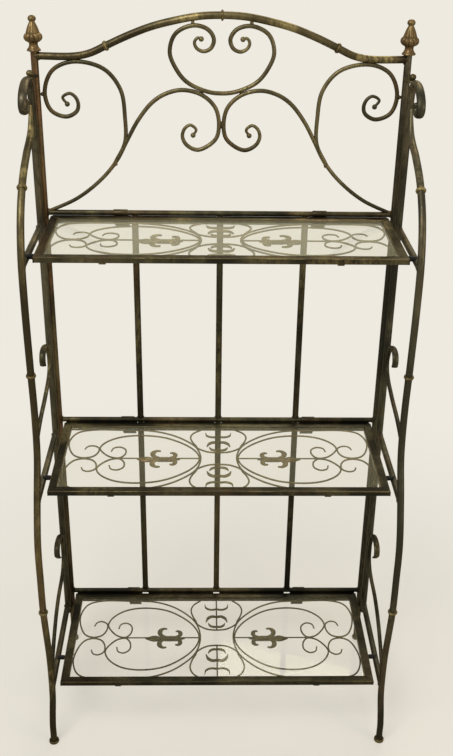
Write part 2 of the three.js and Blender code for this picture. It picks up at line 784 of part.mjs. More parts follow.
function shelfWirework(level) {
  const plan = shelfPlan(level);
  const field = wireField(plan);
  const bodies = [];
  const longSteps = 30;
  const loopSteps = 10;
  for (const side of [-1, 1]) {
    bodies.push(longWire(field, outerWireShares, side, longSteps));
    bodies.push(longWire(field, innerWireShares, side, longSteps));
    const stem = [wirePoint(field, stemShares.outer, side), wirePoint(field, stemShares.inner, side)];
    bodies.push(wireRod(stem, 1));
    bodies.push(...fleur(wirePoint(field, fleurPlaceShares, side), side));
  }
  for (const end of [-1, 1]) {
    const half = centreLoopShares.map((share) => wirePoint(field, share, -1, end));
    const other = centreLoopShares.slice(0, -1).map((share) => wirePoint(field, share, 1, end));
    bodies.push(wireRod(half.concat(other.reverse()), loopSteps));
    const stem = [wirePoint(field, [0, 1], 1, end), wirePoint(field, centreLoopShares.at(-1), 1, end)];
    bodies.push(wireRod(stem, 1));
    for (const side of [-1, 1]) {
      for (const shares of Object.values(centrePetalShares)) {
        bodies.push(petal(shares.map((share) => wirePoint(field, share, side, end))));
      }
    }
  }
  return fuse(bodies, [shelfRing(plan, fitGap)]).translate(0, 0, axleHeights[level]);
}

// Finishes
const finishes = {
  bronze: { color: 0x4b4334, roughness: 0.5, metalness: 0.8 },
  rubbed: { color: 0x6b4a34, roughness: 0.45, metalness: 0.85 },
  wire: { color: 0x5c553f, roughness: 0.55, metalness: 0.75 },
  glass: { color: 0xcfe0d6, roughness: 0.05, metalness: 0, transparent: true, opacity: 0.35 },
};

const rack = new THREE.Group();

// Hang a named piece on the rack
function place(name, geometry, finish) {
  const mesh = new THREE.Mesh(geometry, new THREE.MeshStandardMaterial(finishes[finish]));
  mesh.name = name;
  rack.add(mesh);
}

function buildBackFrame() {
  place('top_rail', topRail(), 'bronze');
  place('crown_collar', railCollar(0, 1, crownCollarDiameter, crownCollarWidth), 'bronze');
  place('centre_scroll', centreScroll(), 'bronze');
  for (const [hand, side] of Object.entries(sides)) {
    place(`${hand}_back_post`, backPost(side), 'rubbed');
    place(`${hand}_finial`, finial(side), 'bronze');
    place(`${hand}_rear_foot`, ferrule(side * postX, 0, rearFootDiameter, rearFootHeight), 'bronze');
    place(`${hand}_rail_collar`, railCollar(railCollarShare, side, collarDiameter, collarWidth), 'bronze');
    place(`${hand}_sweep_scroll`, sweepScroll(side), 'bronze');
    place(`${hand}_side_scroll`, sideScroll(side), 'bronze');
    place(`${hand}_top_hinge_lug`, topHingeLug(side), 'bronze');
  }
  for (const level of levels) place(`${level}_cross_rail`, crossRail(level), 'bronze');
  const bays = { middle: ['top', 'middle'], lower: ['middle', 'bottom'] };
  const bars = { left: -barSpacing, centre: 0, right: barSpacing };
  for (const [bay, [upper, lower]] of Object.entries(bays)) {
    for (const [hand, x] of Object.entries(bars)) {
      place(`${bay}_${hand}_back_bar`, backBar(x, upper, lower), 'bronze');
    }
  }
}

function buildSideFrame(hand, side) {
  place(`${hand}_upright`, upright(side), 'rubbed');
  place(`${hand}_hinge_knob`, hingeKnob(side), 'bronze');
  place(`${hand}_front_leg`, frontLeg(side), 'rubbed');
  const footY = -uprightSetback - legReach;
  place(`${hand}_front_foot`, ferrule(side * sideX, footY, footDiameter, footHeight), 'bronze');
  for (const [name, share] of Object.entries(legCollarShares)) {
    place(`${hand}_${name}_leg_collar`, legCollar(side, share), 'bronze');
  }
  for (const level of levels) place(`${hand}_${level}_side_bar`, sideBar(side, level), 'bronze');
  place(`${hand}_middle_brace`, brace(side, middleBraceShares, braceEndShares.middle), 'bronze');
  place(`${hand}_lower_brace`, brace(side, lowerBraceShares, braceEndShares.lower), 'bronze');
}

function buildShelf(level) {
  place(`${level}_shelf_frame`, shelfFrame(level), 'bronze');
  place(`${level}_shelf_wirework`, shelfWirework(level), 'wire');
  place(`${level}_shelf_glass`, shelfGlass(level), 'glass');
}

buildBackFrame();
for (const [hand, side] of Object.entries(sides)) buildSideFrame(hand, side);
for (const level of levels) buildShelf(level);

// The footprint runs from the finials' bulbs at the back to the front feet
const footprintRear = finialDiameter / 2;
const footprintFront = -uprightSetback - legReach - footDiameter / 2;
rack.position.y = -(footprintRear + footprintFront) / 2;

export default rack;
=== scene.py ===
"""Looks of the folding bakers rack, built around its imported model.

Lengths are in millimetres until a mesh is made. X runs across the rack, -Y is the front, Z is up, and
the back posts' axes lie in the plane Y = 0; to_row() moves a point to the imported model's frame.
"""

import math
import random

import bpy
import numpy as np
from mathutils import Matrix, Vector


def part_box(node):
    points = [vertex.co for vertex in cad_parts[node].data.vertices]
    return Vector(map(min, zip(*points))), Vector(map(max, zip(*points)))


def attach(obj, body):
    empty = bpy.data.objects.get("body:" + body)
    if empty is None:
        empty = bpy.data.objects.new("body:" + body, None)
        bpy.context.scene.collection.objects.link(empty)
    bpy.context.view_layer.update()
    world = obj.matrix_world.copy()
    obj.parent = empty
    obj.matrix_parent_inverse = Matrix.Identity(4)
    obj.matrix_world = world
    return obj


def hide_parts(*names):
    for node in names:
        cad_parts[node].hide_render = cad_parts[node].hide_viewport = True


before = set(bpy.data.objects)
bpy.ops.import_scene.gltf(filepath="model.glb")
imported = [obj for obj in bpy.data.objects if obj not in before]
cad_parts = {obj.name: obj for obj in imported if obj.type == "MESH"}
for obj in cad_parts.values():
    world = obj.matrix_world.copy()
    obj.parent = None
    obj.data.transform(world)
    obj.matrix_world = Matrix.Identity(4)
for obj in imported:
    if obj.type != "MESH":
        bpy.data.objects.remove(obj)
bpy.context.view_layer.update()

# Units and the posts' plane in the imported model
MM = 0.001
finial_low, finial_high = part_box("left_finial")
POST_PLANE = (finial_low.y + finial_high.y) / 2 / MM

# Sizes of the rack; a rod, bar, tube, wire, knob or foot is given by its radius
TUBE = 12.7 / 2
POST_X = 323.0
POST_TOP = 1296.0
POST_START = 6.0
HEADER = 348.0
AXLE = 5.0
AXLE_HEIGHTS = {"top": 1010.0, "middle": 574.0, "bottom": 138.0}
BAR = 6.1
BAR_BACK = 1.6
BAR_SPACING = 158.0
BAR_WELD = (7.1, 6, 1.9)
SCROLL = 3.75
SCROLL_BALL = 4.6
SIDE_X = 329.0
SETBACK = 25.0
UPRIGHT_FOOT = 104.0
VOLUTE_HEIGHT = 1258.5
LEG_REACH = 282.0
LEG_START = 6.3
LEG_STRAIGHT = 28.0
FRONT_FOOT = 9.95
REAR_FOOT = 9.0
SIDE_BAR = 6.0
SIDE_BAR_DROP = 19.0
BRACE = 4.0
PIN = 4.0
SLEEVE = (315, 323)
SLEEVE_WALL = 0.7
PIN_FORWARD = 175.0
PIN_INSET = 13.5
PIN_DROP = 14.0
LUG_THICK = 4.0
LUG_EYE = 8.0
LUG_ARM = 6.0
LUG_EASE = 0.5
LUG_RISE = 1253.8
HINGE_PIN = 3.2
HINGE_PIN_REACH = 10
KNOB = 6.1
KNOB_HEIGHT = 10.0
SHELF_WIDTH = 625.0
SHELF_DEPTHS = {"top": 223.5, "middle": 255.4, "bottom": 276.2}
SHELF_SETBACK = 5.0
SHELF_DROP = 4.9
RAIL_WIDTH = 16.0
RAIL_HEIGHT = 10.0
RAIL_EASE = 1.2
GLASS = 4.2
GLASS_SINK = 1.4
REAR_LIP = 1.2
REAR_LIP_DEEP = 4.0
REAR_LIP_CLEARANCE = 0.5
SLIGHT_EASE = 0.12
GAP = 0.3
WIRE = 1.7
THIN_WIRE = WIRE * 0.85
STRAP_SPACING = 368.0
STRAP_WIDTH = 26.0
STRAP_THICK = 1.3
STRAP_LAP = 8.0
STRAP_SKEW = 6.0
STRAP_PLAY = 0.1
STRAP_EASE = 0.6
NOTCH_SLACK = 2.8
NUB_WIDTH = 12.0
NUB_HEIGHT = 2.4
NUB_SPACING = 396.0
FLEUR_REACH = 20.0
FLEUR_THICK = 8.4
FLEUR_FLATNESS = 0.5
PETAL = 5.0

HANDS = {"left": -1, "right": 1}
LEVELS = ("top", "middle", "bottom")
ACROSS_X, ACROSS_Y, ACROSS_Z = np.eye(3)

# Facets: sides round a rod, and steps from one station of its route to the next
ROD_SIDES = 14
ROD_STEPS = 7
TUBE_SIDES = 28
WIRE_SIDES = 10

# Camera, from the photograph: focal length in its pixels, angles in degrees, place in millimetres
PHOTO_HEIGHT = 756
FOCAL_PX = 1012.19
TILT = 26.704
ROLL = -0.845
YAW = 1.432
EYE = (-29.25, -1810.4, 1580.0)


def to_row(point):
    """A point in millimetres, with the posts in the plane Y = 0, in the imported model's metres."""
    return (point[0] * MM, (point[1] + POST_PLANE) * MM, point[2] * MM)


# Routes

def catmull(stations, per_span):
    """Points and tangents along a centripetal curve through the stations."""
    knots = np.array(stations, float)
    ends = np.vstack((2 * knots[0] - knots[1], knots, 2 * knots[-1] - knots[-2]))
    points = []
    tangents = []
    for i in range(len(knots) - 1):
        p0, p1, p2, p3 = ends[i:i + 4]
        steps = [max(np.sqrt(np.linalg.norm(b - a)), 1e-4) for a, b in ((p0, p1), (p1, p2), (p2, p3))]
        t1 = (p1 - p0) / steps[0] - (p2 - p0) / (steps[0] + steps[1]) + (p2 - p1) / steps[1]
        t2 = (p2 - p1) / steps[1] - (p3 - p1) / (steps[1] + steps[2]) + (p3 - p2) / steps[2]
        t1, t2 = t1 * steps[1], t2 * steps[1]
        last = i == len(knots) - 2
        for u in np.linspace(0, 1, per_span + 1)[: per_span + (1 if last else 0)]:
            c2 = -3 * p1 + 3 * p2 - 2 * t1 - t2
            c3 = 2 * p1 - 2 * p2 + t1 + t2
            points.append(p1 + t1 * u + c2 * u * u + c3 * u ** 3)
            tangents.append(t1 + 2 * c2 * u + 3 * c3 * u * u)
    tangents = np.array(tangents)
    tangents /= np.linalg.norm(tangents, axis=1)[:, None]
    return np.array(points), tangents


class Shape:
    """Vertices and faces gathered in millimetres; tones holds each face's finish, 1 for the second."""

    def __init__(self):
        self.points = []
        self.faces = []
        self.tones = []

    def add(self, points, faces):
        start = len(self.points)
        self.points.extend(tuple(p) for p in points)
        self.faces.extend(tuple(start + i for i in face) for face in faces)
        self.tones.extend([0] * len(faces))
        return self

    def rings(self, rings, round_start=0.0, round_end=0.0):
        """A closed skin over rings of as many points each, with ends domed by a share of the radius."""
        rings = [np.array(r) for r in rings]
        count = len(rings[0])
        if round_start:
            rings = dome(rings[0], rings[0].mean(0) - rings[1].mean(0), round_start)[::-1] + rings
        if round_end:
            rings = rings + dome(rings[-1], rings[-1].mean(0) - rings[-2].mean(0), round_end)
        points = np.vstack(rings)
        faces = []
        for r in range(len(rings) - 1):
            for k in range(count):
                a = r * count + k
                b = r * count + (k + 1) % count
                faces.append((a, b, b + count, a + count))
        faces.append(tuple(range(count - 1, -1, -1)))
        base = (len(rings) - 1) * count
        faces.append(tuple(base + k for k in range(count)))
        return self.add(points, faces)


def dome(ring, outward, share):
    """Rings that close one end of a rod with a dome."""
    centre = ring.mean(0)
    outward = outward / np.linalg.norm(outward)
    spokes = ring - centre
    radius = np.linalg.norm(spokes, axis=1).mean()
    caps = []
    for angle in (0.35, 0.7, 1.0, 1.25, 1.45):
        caps.append(centre + spokes * math.cos(angle) + outward * radius * share * math.sin(angle))
    return caps


def skin_rings(points, tangents, normal, radius, sides, bulk=None):
    """Rings of a rod along a flat route; bulk(t) gives its width across and along the normal."""
    rings = []
    count = len(points)
    angles = [2 * math.pi * (k + 0.5) / sides for k in range(sides)]
    for i in range(count):
        across = np.cross(normal, tangents[i])
        across /= np.linalg.norm(across)
        wide, thick = bulk(i / (count - 1)) if bulk else (1, 1)
        rings.append([
            points[i] + across * radius * wide * math.cos(a) + normal * radius * thick * math.sin(a)
            for a in angles
        ])
    return rings


def forged(bulk, seed, amount=0.02):
    """The same bulk with a slow unevenness, as hand-drawn rod has."""
    source = random.Random(seed)
    waves = [(source.uniform(9, 38), source.uniform(0, 6.28)) for _ in range(4)]

    def uneven(t):
        wide, thick = bulk(t) if bulk else (1, 1)
        wave = sum(math.sin(pace * t + phase) for pace, phase in waves) / len(waves)
        return wide * (1 + amount * wave), thick * (1 - amount * wave)

    return uneven


def taper(start, end, reach):
    """Bulk that thins towards either end over the given reach."""

    def bulk(t):
        near = start + (1 - start) * min(t / reach, 1)
        far = end + (1 - end) * min((1 - t) / reach, 1)
        return near * far, near * far

    return bulk


def smooth(t, low, high):
    """0 below low, 1 above high and smooth between them."""
    share = min(1.0, max(0.0, (t - low) / (high - low)))
    return share * share * (3 - 2 * share)


def pressed(thin, wide, start, full):
    """Bulk of a rod drawn out flat between start and full."""

    def bulk(t):
        flat = smooth(t, start, full) if full > start else 1 - smooth(t, full, start)
        return 1 - (1 - thin) * flat, 1 + (wide - 1) * flat

    return bulk


def rod(shape, stations, normal, radius, sides, per_span, bulk=None, domes=(0, 0)):
    """Adds a rod through the stations to a shape."""
    points, tangents = catmull(stations, per_span)
    return shape.rings(skin_rings(points, tangents, normal, radius, sides, bulk), *domes)


def straight(shape, start, end, radius, sides, steps, bulk=None, domes=(0, 0)):
    """Adds a straight rod to a shape."""
    start, end = np.array(start, float), np.array(end, float)
    run = (end - start) / np.linalg.norm(end - start)
    normal = ACROSS_Y if abs(run[1]) < 0.9 else ACROSS_X
    normal = normal - run * normal.dot(run)
    normal /= np.linalg.norm(normal)
    points = [start + (end - start) * i / steps for i in range(steps + 1)]
    tangents = [run] * (steps + 1)
    return shape.rings(skin_rings(points, tangents, normal, radius, sides, bulk), *domes)


def turned(shape, profile, centre, axis=ACROSS_Z, sides=32, relief=None):
    """Adds a turned piece; relief(angle, share) scales its radius."""
    axis = np.array(axis, float)
    axis /= np.linalg.norm(axis)
    first = np.cross(axis, ACROSS_Y if abs(axis[1]) < 0.9 else ACROSS_X)
    first /= np.linalg.norm(first)
    second = np.cross(axis, first)
    rings = []
    for i, (radius, height) in enumerate(profile):
        ring = []
        for k in range(sides):
            angle = 2 * math.pi * k / sides
            swell = relief(angle, i / (len(profile) - 1)) if relief else 1
            ring.append(
                np.array(centre) + axis * height
                + (first * math.cos(angle) + second * math.sin(angle)) * max(radius, 0.02) * swell
            )
        rings.append(ring)
    return shape.rings(rings)


def ball(shape, centre, radius, squash=(1, 1, 1), seed=None):
    """Adds a ball or a weld bead; a seed makes its surface uneven."""
    source = random.Random(seed)
    phases = [source.uniform(0, 6.28) for _ in range(3)]
    rings = []
    turns, slices = 12, 9
    for i in range(slices):
        polar = math.pi * (i + 0.35) / (slices - 0.3)
        ring = []
        for k in range(turns):
            angle = 2 * math.pi * k / turns
            spread = np.array((
                math.sin(polar) * math.cos(angle), math.sin(polar) * math.sin(angle), math.cos(polar),
            ))
            lump = 1
            if seed is not None:
                lump += 0.09 * sum(math.sin(3 * c + p) for c, p in zip(spread * 2.1, phases))
            ring.append(np.array(centre) + spread * np.array(squash) * radius * lump)
        rings.append(ring)
    return shape.rings(rings)


# Materials

def colour(value):
    """Linear colour of an sRGB triple from 0 to 255."""
    linear = []
    for channel in value:
        c = channel / 255
        linear.append(c / 12.92 if c <= 0.04045 else ((c + 0.055) / 1.055) ** 2.4)
    return (*linear, 1.0)


class Nodes:
    """Short hand for building nodes in a tree."""

    def __init__(self, tree):
        self.tree = tree

    def new(self, kind):
        return self.tree.nodes.new("ShaderNode" + kind)

    def link(self, source, target):
        self.tree.links.new(source, target)

    def feed(self, value, socket):
        """Gives a socket a plain value or another socket's."""
        if isinstance(value, bpy.types.NodeSocket):
            self.link(value, socket)
        else:
            socket.default_value = value

    def math(self, operation, first, second):
        """Result of an operation on two values or sockets."""
        node = self.new("Math")
        node.operation = operation
        self.feed(first, node.inputs[0])
        self.feed(second, node.inputs[1])
        return node.outputs[0]

    def mix_shaders(self, factor, first, second, output):
        """Leads first, or second where the factor is 1, to the output node."""
        mix = self.new("MixShader")
        for source, socket in zip((factor, first, second), mix.inputs):
            self.link(source, socket)
        self.link(mix.outputs[0], self.tree.nodes[output].inputs["Surface"])


SHIFT_SHARES = (1, 0.7, -0.4)


class Finish(Nodes):
    """A material whose nodes depend on the object's place."""

    def __init__(self, name):
        self.material = bpy.data.materials.new(name)
        self.material.use_nodes = True
        super().__init__(self.material.node_tree)
        self.shader = self.tree.nodes["Principled BSDF"]
        self.place = self.new("TexCoord").outputs["Object"]

    def shade(self, values):
        """Gives the shader's inputs their values or sockets."""
        for name, value in values.items():
            self.feed(value, self.shader.inputs[name])

    def noise(self, scale, detail, rough, stretch=(1, 1, 1), distortion=0.0, shift=0.0):
        """Noise over the object's place in metres; shift gives each finish its own part of it."""
        mapping = self.new("Mapping")
        mapping.inputs["Scale"].default_value = stretch
        mapping.inputs["Location"].default_value = [shift * share for share in SHIFT_SHARES]
        self.link(self.place, mapping.inputs["Vector"])
        texture = self.new("TexNoise")
        for name, value in (("Scale", scale), ("Detail", detail), ("Roughness", rough),
                            ("Distortion", distortion), ("Vector", mapping.outputs["Vector"])):
            self.feed(value, texture.inputs[name])
        return texture.outputs["Fac"]

    def ramp(self, source, low, high, start=0.0, end=1.0):
        """source spread from start to end between its low and high values."""
        node = self.new("MapRange")
        node.interpolation_type = "SMOOTHSTEP"
        for name, value in (("Value", source), ("From Min", low), ("From Max", high),
                            ("To Min", start), ("To Max", end)):
            self.feed(value, node.inputs[name])
        return node.outputs["Result"]

    def height(self):
        """Height above the floor in metres."""
        split = self.new("SeparateXYZ")
        self.link(self.place, split.inputs[0])
        return split.outputs["Z"]

    def times(self, first, second):
        return self.math("MULTIPLY", first, second)

    def blend(self, factor, first, second, mode="MIX"):
        """Colour that goes from first to second with the factor; each may be a value or a socket."""
        node = self.new("Mix")
        node.data_type = "RGBA"
        node.blend_type = mode
        self.feed(factor, node.inputs["Factor"])
        self.feed(first, node.inputs[6])
        self.feed(second, node.inputs[7])
        return node.outputs[2]

    def bump(self, source, distance, strength, after=None):
        """Normal that follows the source's relief, distance metres deep, on top of an earlier one."""
        node = self.new("Bump")
        node.inputs["Distance"].default_value = distance
        node.inputs["Strength"].default_value = strength
        self.link(source, node.inputs["Height"])
        if after is not None:
            self.link(after, node.inputs["Normal"])
        return node.outputs["Normal"]


STREAK = (1, 1, 0.35)
# Painted shade: the bronze is darkened below this height in metres, down to this share of its tone at
# the floor
PAINTED_SHADE_HEIGHT = 0.8
PAINTED_SHADE_SHARE = 0.5


def bronze(name, dark, base, gold, copper, gold_share, copper_share, shift):
    """Antique bronze paint over iron: dark and mid coats, with rubbed gold and copper in streaks.

    Painted shade darkens the paint towards the floor, standing in for the weaker light low down; the
    paint has its full tone from the height set above this function upward.
    """
    n = Finish(name)
    wide = n.ramp(n.noise(9, 4, 0.55, STREAK, 0.5, shift), 0.4, 0.62)
    fine = n.ramp(n.noise(60, 6, 0.65, STREAK, shift=shift + 2), 0.3, 0.7, 0.25, 1.0)
    paint = n.blend(n.times(wide, fine), colour(dark), colour(base))
    rub = n.times(
        n.ramp(n.noise(11, 3, 0.5, STREAK, 0.6, shift + 3), 0.5, 0.68, 0.0, gold_share),
        n.ramp(n.noise(150, 5, 0.7, STREAK, shift=shift + 1), 0.34, 0.62),
    )
    paint = n.blend(rub, paint, colour(gold))
    bare = n.times(
        n.ramp(n.noise(6.5, 3, 0.5, STREAK, 0.8, shift + 9), 0.5, 0.66, 0.0, copper_share),
        n.ramp(n.noise(90, 6, 0.7, STREAK, shift=shift + 5), 0.3, 0.6),
    )
    paint = n.blend(bare, paint, colour(copper))
    # Painted shade for the weaker light low down: the coat is multiplied darker towards the floor
    painted_shade_fade = n.ramp(n.height(), 0.0, PAINTED_SHADE_HEIGHT)
    dim = n.blend(1.0, paint, (PAINTED_SHADE_SHARE, PAINTED_SHADE_SHARE, PAINTED_SHADE_SHARE, 1.0), "MULTIPLY")
    grain = n.noise(260, 4, 0.6, shift=shift)
    hammer = n.bump(n.noise(95, 2, 0.4, shift=shift), 0.0008, 0.5)
    n.shade({
        "Base Color": n.blend(painted_shade_fade, dim, paint),
        "Metallic": 0.72,
        "Specular IOR Level": 0.25,
        "Specular Tint": colour((190, 178, 160)),
        "Roughness": n.ramp(grain, 0.3, 0.7, 0.3, 0.5),
        "Normal": n.bump(n.noise(700, 4, 0.65, shift=shift), 0.0002, 0.6, hammer),
    })
    return n.material


def clear_glass():
    """Clear float glass, faintly green, which mirrors more the flatter it is looked across."""
    n = Finish("clear_glass")
    slant = n.new("LayerWeight")
    slant.inputs["Blend"].default_value = 0.5
    flatness = n.math("POWER", slant.outputs["Facing"], 2.0)
    n.shade({
        "Base Color": colour((214, 210, 176)),
        "Metallic": 0.35,
        "Alpha": n.ramp(flatness, 0.0, 1.0, 0.04, 0.5),
        "Roughness": n.ramp(n.noise(9, 3, 0.5), 0.3, 0.7, 0.03, 0.08),
    })
    return n.material


def black_rubber():
    """Dull black sleeve on the shelf pins."""
    n = Finish("pin_black")
    speck = n.noise(400, 3, 0.6)
    n.shade({
        "Base Color": n.blend(n.ramp(speck, 0.35, 0.65), colour((9, 9, 9)), colour((20, 20, 19))),
        "Roughness": 0.6,
        "Specular IOR Level": 0.2,
        "Normal": n.bump(speck, 0.0001, 0.4),
    })
    return n.material


# Dark coat, mid coat, rubbed gold and bare copper, the shares of the last two, and the noise shift
COATS = {
    "dark": ((40, 39, 30), (82, 78, 58), (136, 124, 86), (102, 78, 54), 0.5, 0.3, 0.0),
    "scroll": ((62, 58, 42), (114, 105, 76), (164, 150, 106), (126, 96, 64), 0.5, 0.3, 6.0),
    "copper": ((56, 52, 38), (108, 94, 68), (150, 132, 92), (144, 104, 74), 0.45, 0.5, 4.0),
    "smoke": ((48, 48, 40), (88, 85, 67), (128, 120, 94), (114, 94, 74), 0.4, 0.3, 11.0),
    # Lighter coat that paints highlights on the shelf bars' upper edges
    "painted_edge_highlight": ((74, 68, 50), (124, 112, 80), (170, 154, 108), (138, 108, 74), 0.6, 0.4, 5.0),
    "ash": ((58, 57, 46), (100, 95, 75), (142, 130, 98), (122, 96, 72), 0.45, 0.35, 13.0),
    "bright": ((92, 82, 54), (146, 132, 92), (192, 176, 124), (148, 116, 78), 0.7, 0.3, 14.0),
    "finial": ((66, 56, 38), (118, 103, 70), (160, 142, 98), (130, 98, 66), 0.6, 0.35, 17.0),
    "gold": ((60, 54, 38), (110, 100, 70), (164, 148, 100), (126, 96, 64), 0.7, 0.35, 8.0),
    "wire": ((64, 56, 32), (104, 90, 52), (144, 124, 72), (124, 90, 52), 0.4, 0.3, 2.0),
}
MATERIALS = {name: bronze(f"bronze_{name}", *coat) for name, coat in COATS.items()}
MATERIALS["glass"] = clear_glass()
MATERIALS["rubber"] = black_rubber()
SLOTS = dict.fromkeys(MATERIALS, "dark_bronze")
SLOTS.update(dict.fromkeys(("copper", "smoke", "ash", "gold"), "rubbed_bronze"))
SLOTS.update({"wire": "wirework", "glass": "glass"})


def piece(name, shape, body, finish, node=None, crease=50, second=None):
    """Makes an object of a shape, with its finishes, its body and the node that it stands for."""
    mesh = bpy.data.meshes.new(name)
    mesh.from_pydata([to_row(p) for p in shape.points], [], shape.faces)
    mesh.validate()
    mesh.materials.append(MATERIALS[finish])
    if second:
        mesh.materials.append(MATERIALS[second])
        mesh.polygons.foreach_set("material_index", shape.tones)
    obj = bpy.data.objects.new(name, mesh)
    bpy.context.scene.collection.objects.link(obj)
    bpy.context.view_layer.objects.active = obj
    mesh.polygons.foreach_set("use_smooth", [True] * len(mesh.polygons))
    mesh.set_sharp_from_angle(angle=math.radians(crease))
    mesh.update()
    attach(obj, body)
    if node:
        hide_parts(node)


# Header

RAIL = [
    (1, 0.8), (0.789, 0.8), (0.706, 0.815), (0.619, 0.851), (0.539, 0.885), (0.464, 0.914),
    (0.378, 0.943), (0.276, 0.968), (0.127, 0.994), (0, 1),
]
CENTRE_SCROLL = [
    (0.111, 0.888), (0.13, 0.893), (0.147, 0.873), (0.136, 0.845), (0.099, 0.829), (0.059, 0.845),
    (0.044, 0.888), (0.077, 0.934), (0.156, 0.951), (0.248, 0.911), (0.279, 0.825), (0.248, 0.747),
    (0.189, 0.681), (0.08, 0.635), (0, 0.626),
]
SWEEP_SCROLL = [
    (0.985, 0.003), (0.811, 0.078), (0.67, 0.181), (0.579, 0.282), (0.517, 0.389), (0.458, 0.486),
    (0.381, 0.575), (0.305, 0.621), (0.212, 0.641), (0.108, 0.618), (0.034, 0.555), (0.0129, 0.468),
    (0.031, 0.394), (0.127, 0.339), (0.192, 0.365), (0.214, 0.408), (0.201, 0.448), (0.17, 0.466),
    (0.138, 0.4425), (0.155, 0.414),
]
SIDE_SCROLL = [
    (0.593, 0.264), (0.5325, 0.374), (0.528, 0.503), (0.548, 0.641), (0.635, 0.741), (0.796, 0.774),
    (0.91, 0.73), (0.957, 0.626), (0.929, 0.534), (0.848, 0.503), (0.79, 0.53), (0.779, 0.565),
    (0.793, 0.601), (0.824, 0.619), (0.862, 0.599), (0.839, 0.566),
]
CURL_TIP = 0.62
# Node, stations, thickness and reach of the root's taper, dome of the root, seed, and the welds
HAND_SCROLLS = {
    "sweep": ("sweep_scroll", SWEEP_SCROLL, 0.9, 0.3, 0, 40, [
        ((0.003, 0.468), 0, (2.2, 3.2, 6), 50), ((0.975, 0.012), 0, (7, 4, 3), 52),
    ]),
    "c_scroll": ("side_scroll", SIDE_SCROLL, 0.95, 0.35, 0.5, 60, [
        (SIDE_SCROLL[5], 4.2, (3.4, 3.4, 3), 70), ((0.971, 0.615), 0, (3.2, 3, 3.4), 72),
        ((0.588, 0.262), 0, (3.4, 3.4, 4), 74),
    ]),
}
COLLAR_LIP = [(0.84, 1), (0.9, 0.9), (0.91, 0.7), (0.85, 0.58), (0.93, 0.45), (0.985, 0.22)]
COLLAR = (9, 6)
CROWN_COLLAR = (9.5, 4)


def header(share, side=1):
    """Point of the header's plane, from shares of the posts' half distance and of its height."""
    return np.array((side * share[0] * POST_X, 0.0, AXLE_HEIGHTS["top"] + share[1] * HEADER))


def halves(shares):
    """Stations of both halves, from the left one's first to the right one's first."""
    return [header(s, -1) for s in shares] + [header(s, 1) for s in shares[:-1]][::-1]


def collar(name, centre, direction, radius, width, body):
    """A cast ring round a tube: a bead between two thin lips."""
    half = width / 2
    lip = [(radius * out, half * up) for out, up in COLLAR_LIP]
    low_lip = [(out, -up) for out, up in lip]
    profile = [(TUBE, -half), *low_lip, (radius, 0), *lip[::-1], (TUBE, half)]
    piece(name + "_ring", turned(Shape(), profile, centre, direction, 40), body, "bright", name, 40)


def weld(shape, centre, size, seed):
    """A bead of weld metal."""
    return ball(shape, centre, 1, size, seed)


def build_header():
    """Arched rail with its collars, and the five scrolls below it."""
    body = "back_frame"
    shape = Shape()
    rod(shape, halves(RAIL), ACROSS_Y, TUBE, 24, 8, forged(None, 1, 0.006))
    for side in (-1, 1):
        weld(shape, header(RAIL[0], side) - (side * (TUBE + 0.6), 0, 0), (2.6, 7.4, 7.4), 3 + side)
    piece("arched_rail", shape, body, "gold", "top_rail")
    collar("crown_collar", header((0, 1)), ACROSS_X, *CROWN_COLLAR, body)
    shape = Shape()
    rod(shape, halves(CENTRE_SCROLL), ACROSS_Y, SCROLL, ROD_SIDES, ROD_STEPS,
        forged(taper(CURL_TIP, CURL_TIP, 0.2), 7), (0.6, 0.6))
    for side in (-1, 1):
        ball(shape, header(CENTRE_SCROLL[0], side), SCROLL_BALL)
        weld(shape, header(CENTRE_SCROLL[8], side) + (0, 0, 4.6), (3.4, 3.4, 4.2), 20 + side)
        weld(shape, header((0.118, 0.637), side) - (0, 0, 3.2), (6.5, 3, 2.2), 30 + side)
    piece("heart_scroll", shape, body, "scroll", "centre_scroll")
    for hand, side in HANDS.items():
        tangent = header(RAIL[4], side) - header(RAIL[2], side)
        collar(f"{hand}_rail_collar", header(RAIL[3], side), tangent, *COLLAR, body)
        for name, (node, shares, root, reach, dome_share, seed, welds) in HAND_SCROLLS.items():
            shape = Shape()
            rod(shape, [header(s, side) for s in shares], ACROSS_Y, SCROLL, ROD_SIDES, ROD_STEPS,
                forged(taper(root, CURL_TIP, reach), seed + side), (dome_share, 0.6))
            ball(shape, header(shares[-1], side), SCROLL_BALL)
            for place, lift, size, weld_seed in welds:
                weld(shape, header(place, side) + (0, 0, lift), size, weld_seed + side)
            piece(f"{hand}_{name}", shape, body, "scroll", f"{hand}_{node}")


# Posts, finials and feet

# Both back posts have one bronze finish; the left post's warmer copper coat and the right post's greyer
# coat are painted reflection of the room
POST_COAT_WITH_PAINTED_REFLECTION = {"left": "copper", "right": "smoke"}
FINIAL_SKIRT = [
    (8.4, 0), (11.4, 0.2), (12.1, 1.2), (11.9, 2.4), (10.6, 4), (9.1, 6), (8, 8.2), (7.5, 10.4),
    (7.5, 12.4), (8.2, 14.2), (9.6, 15.8), (10.4, 16.6),
]
FINIAL_CONE = [
    (11.3, 28.8), (11.9, 30), (11.7, 31.4), (11, 33.4), (10, 36.4), (8.8, 39.6), (7.4, 42.8),
    (6.1, 45.4), (5.1, 47.4), (4.6, 48.8), (4.6, 49.8),
]
FINIAL_TIP = [
    (4.4, 48.9), (5.8, 49.6), (6.7, 50.9), (7, 52.6), (6.9, 54.2), (6.1, 56), (4.7, 57.4),
    (2.7, 58.4), (0.1, 58.8),
]
FINIAL_LOBES = 10
FINIAL_FLUTES = 8
FOOT_CUP = [
    (0.84, 0), (0.93, 0.5), (0.985, 1.5), (1, 3), (0.985, 4.6), (0.94, 5.8), (0.87, 6.4), (0.8, 6.2),
    (0.76, 5.4), (0.74, 4.2),
]


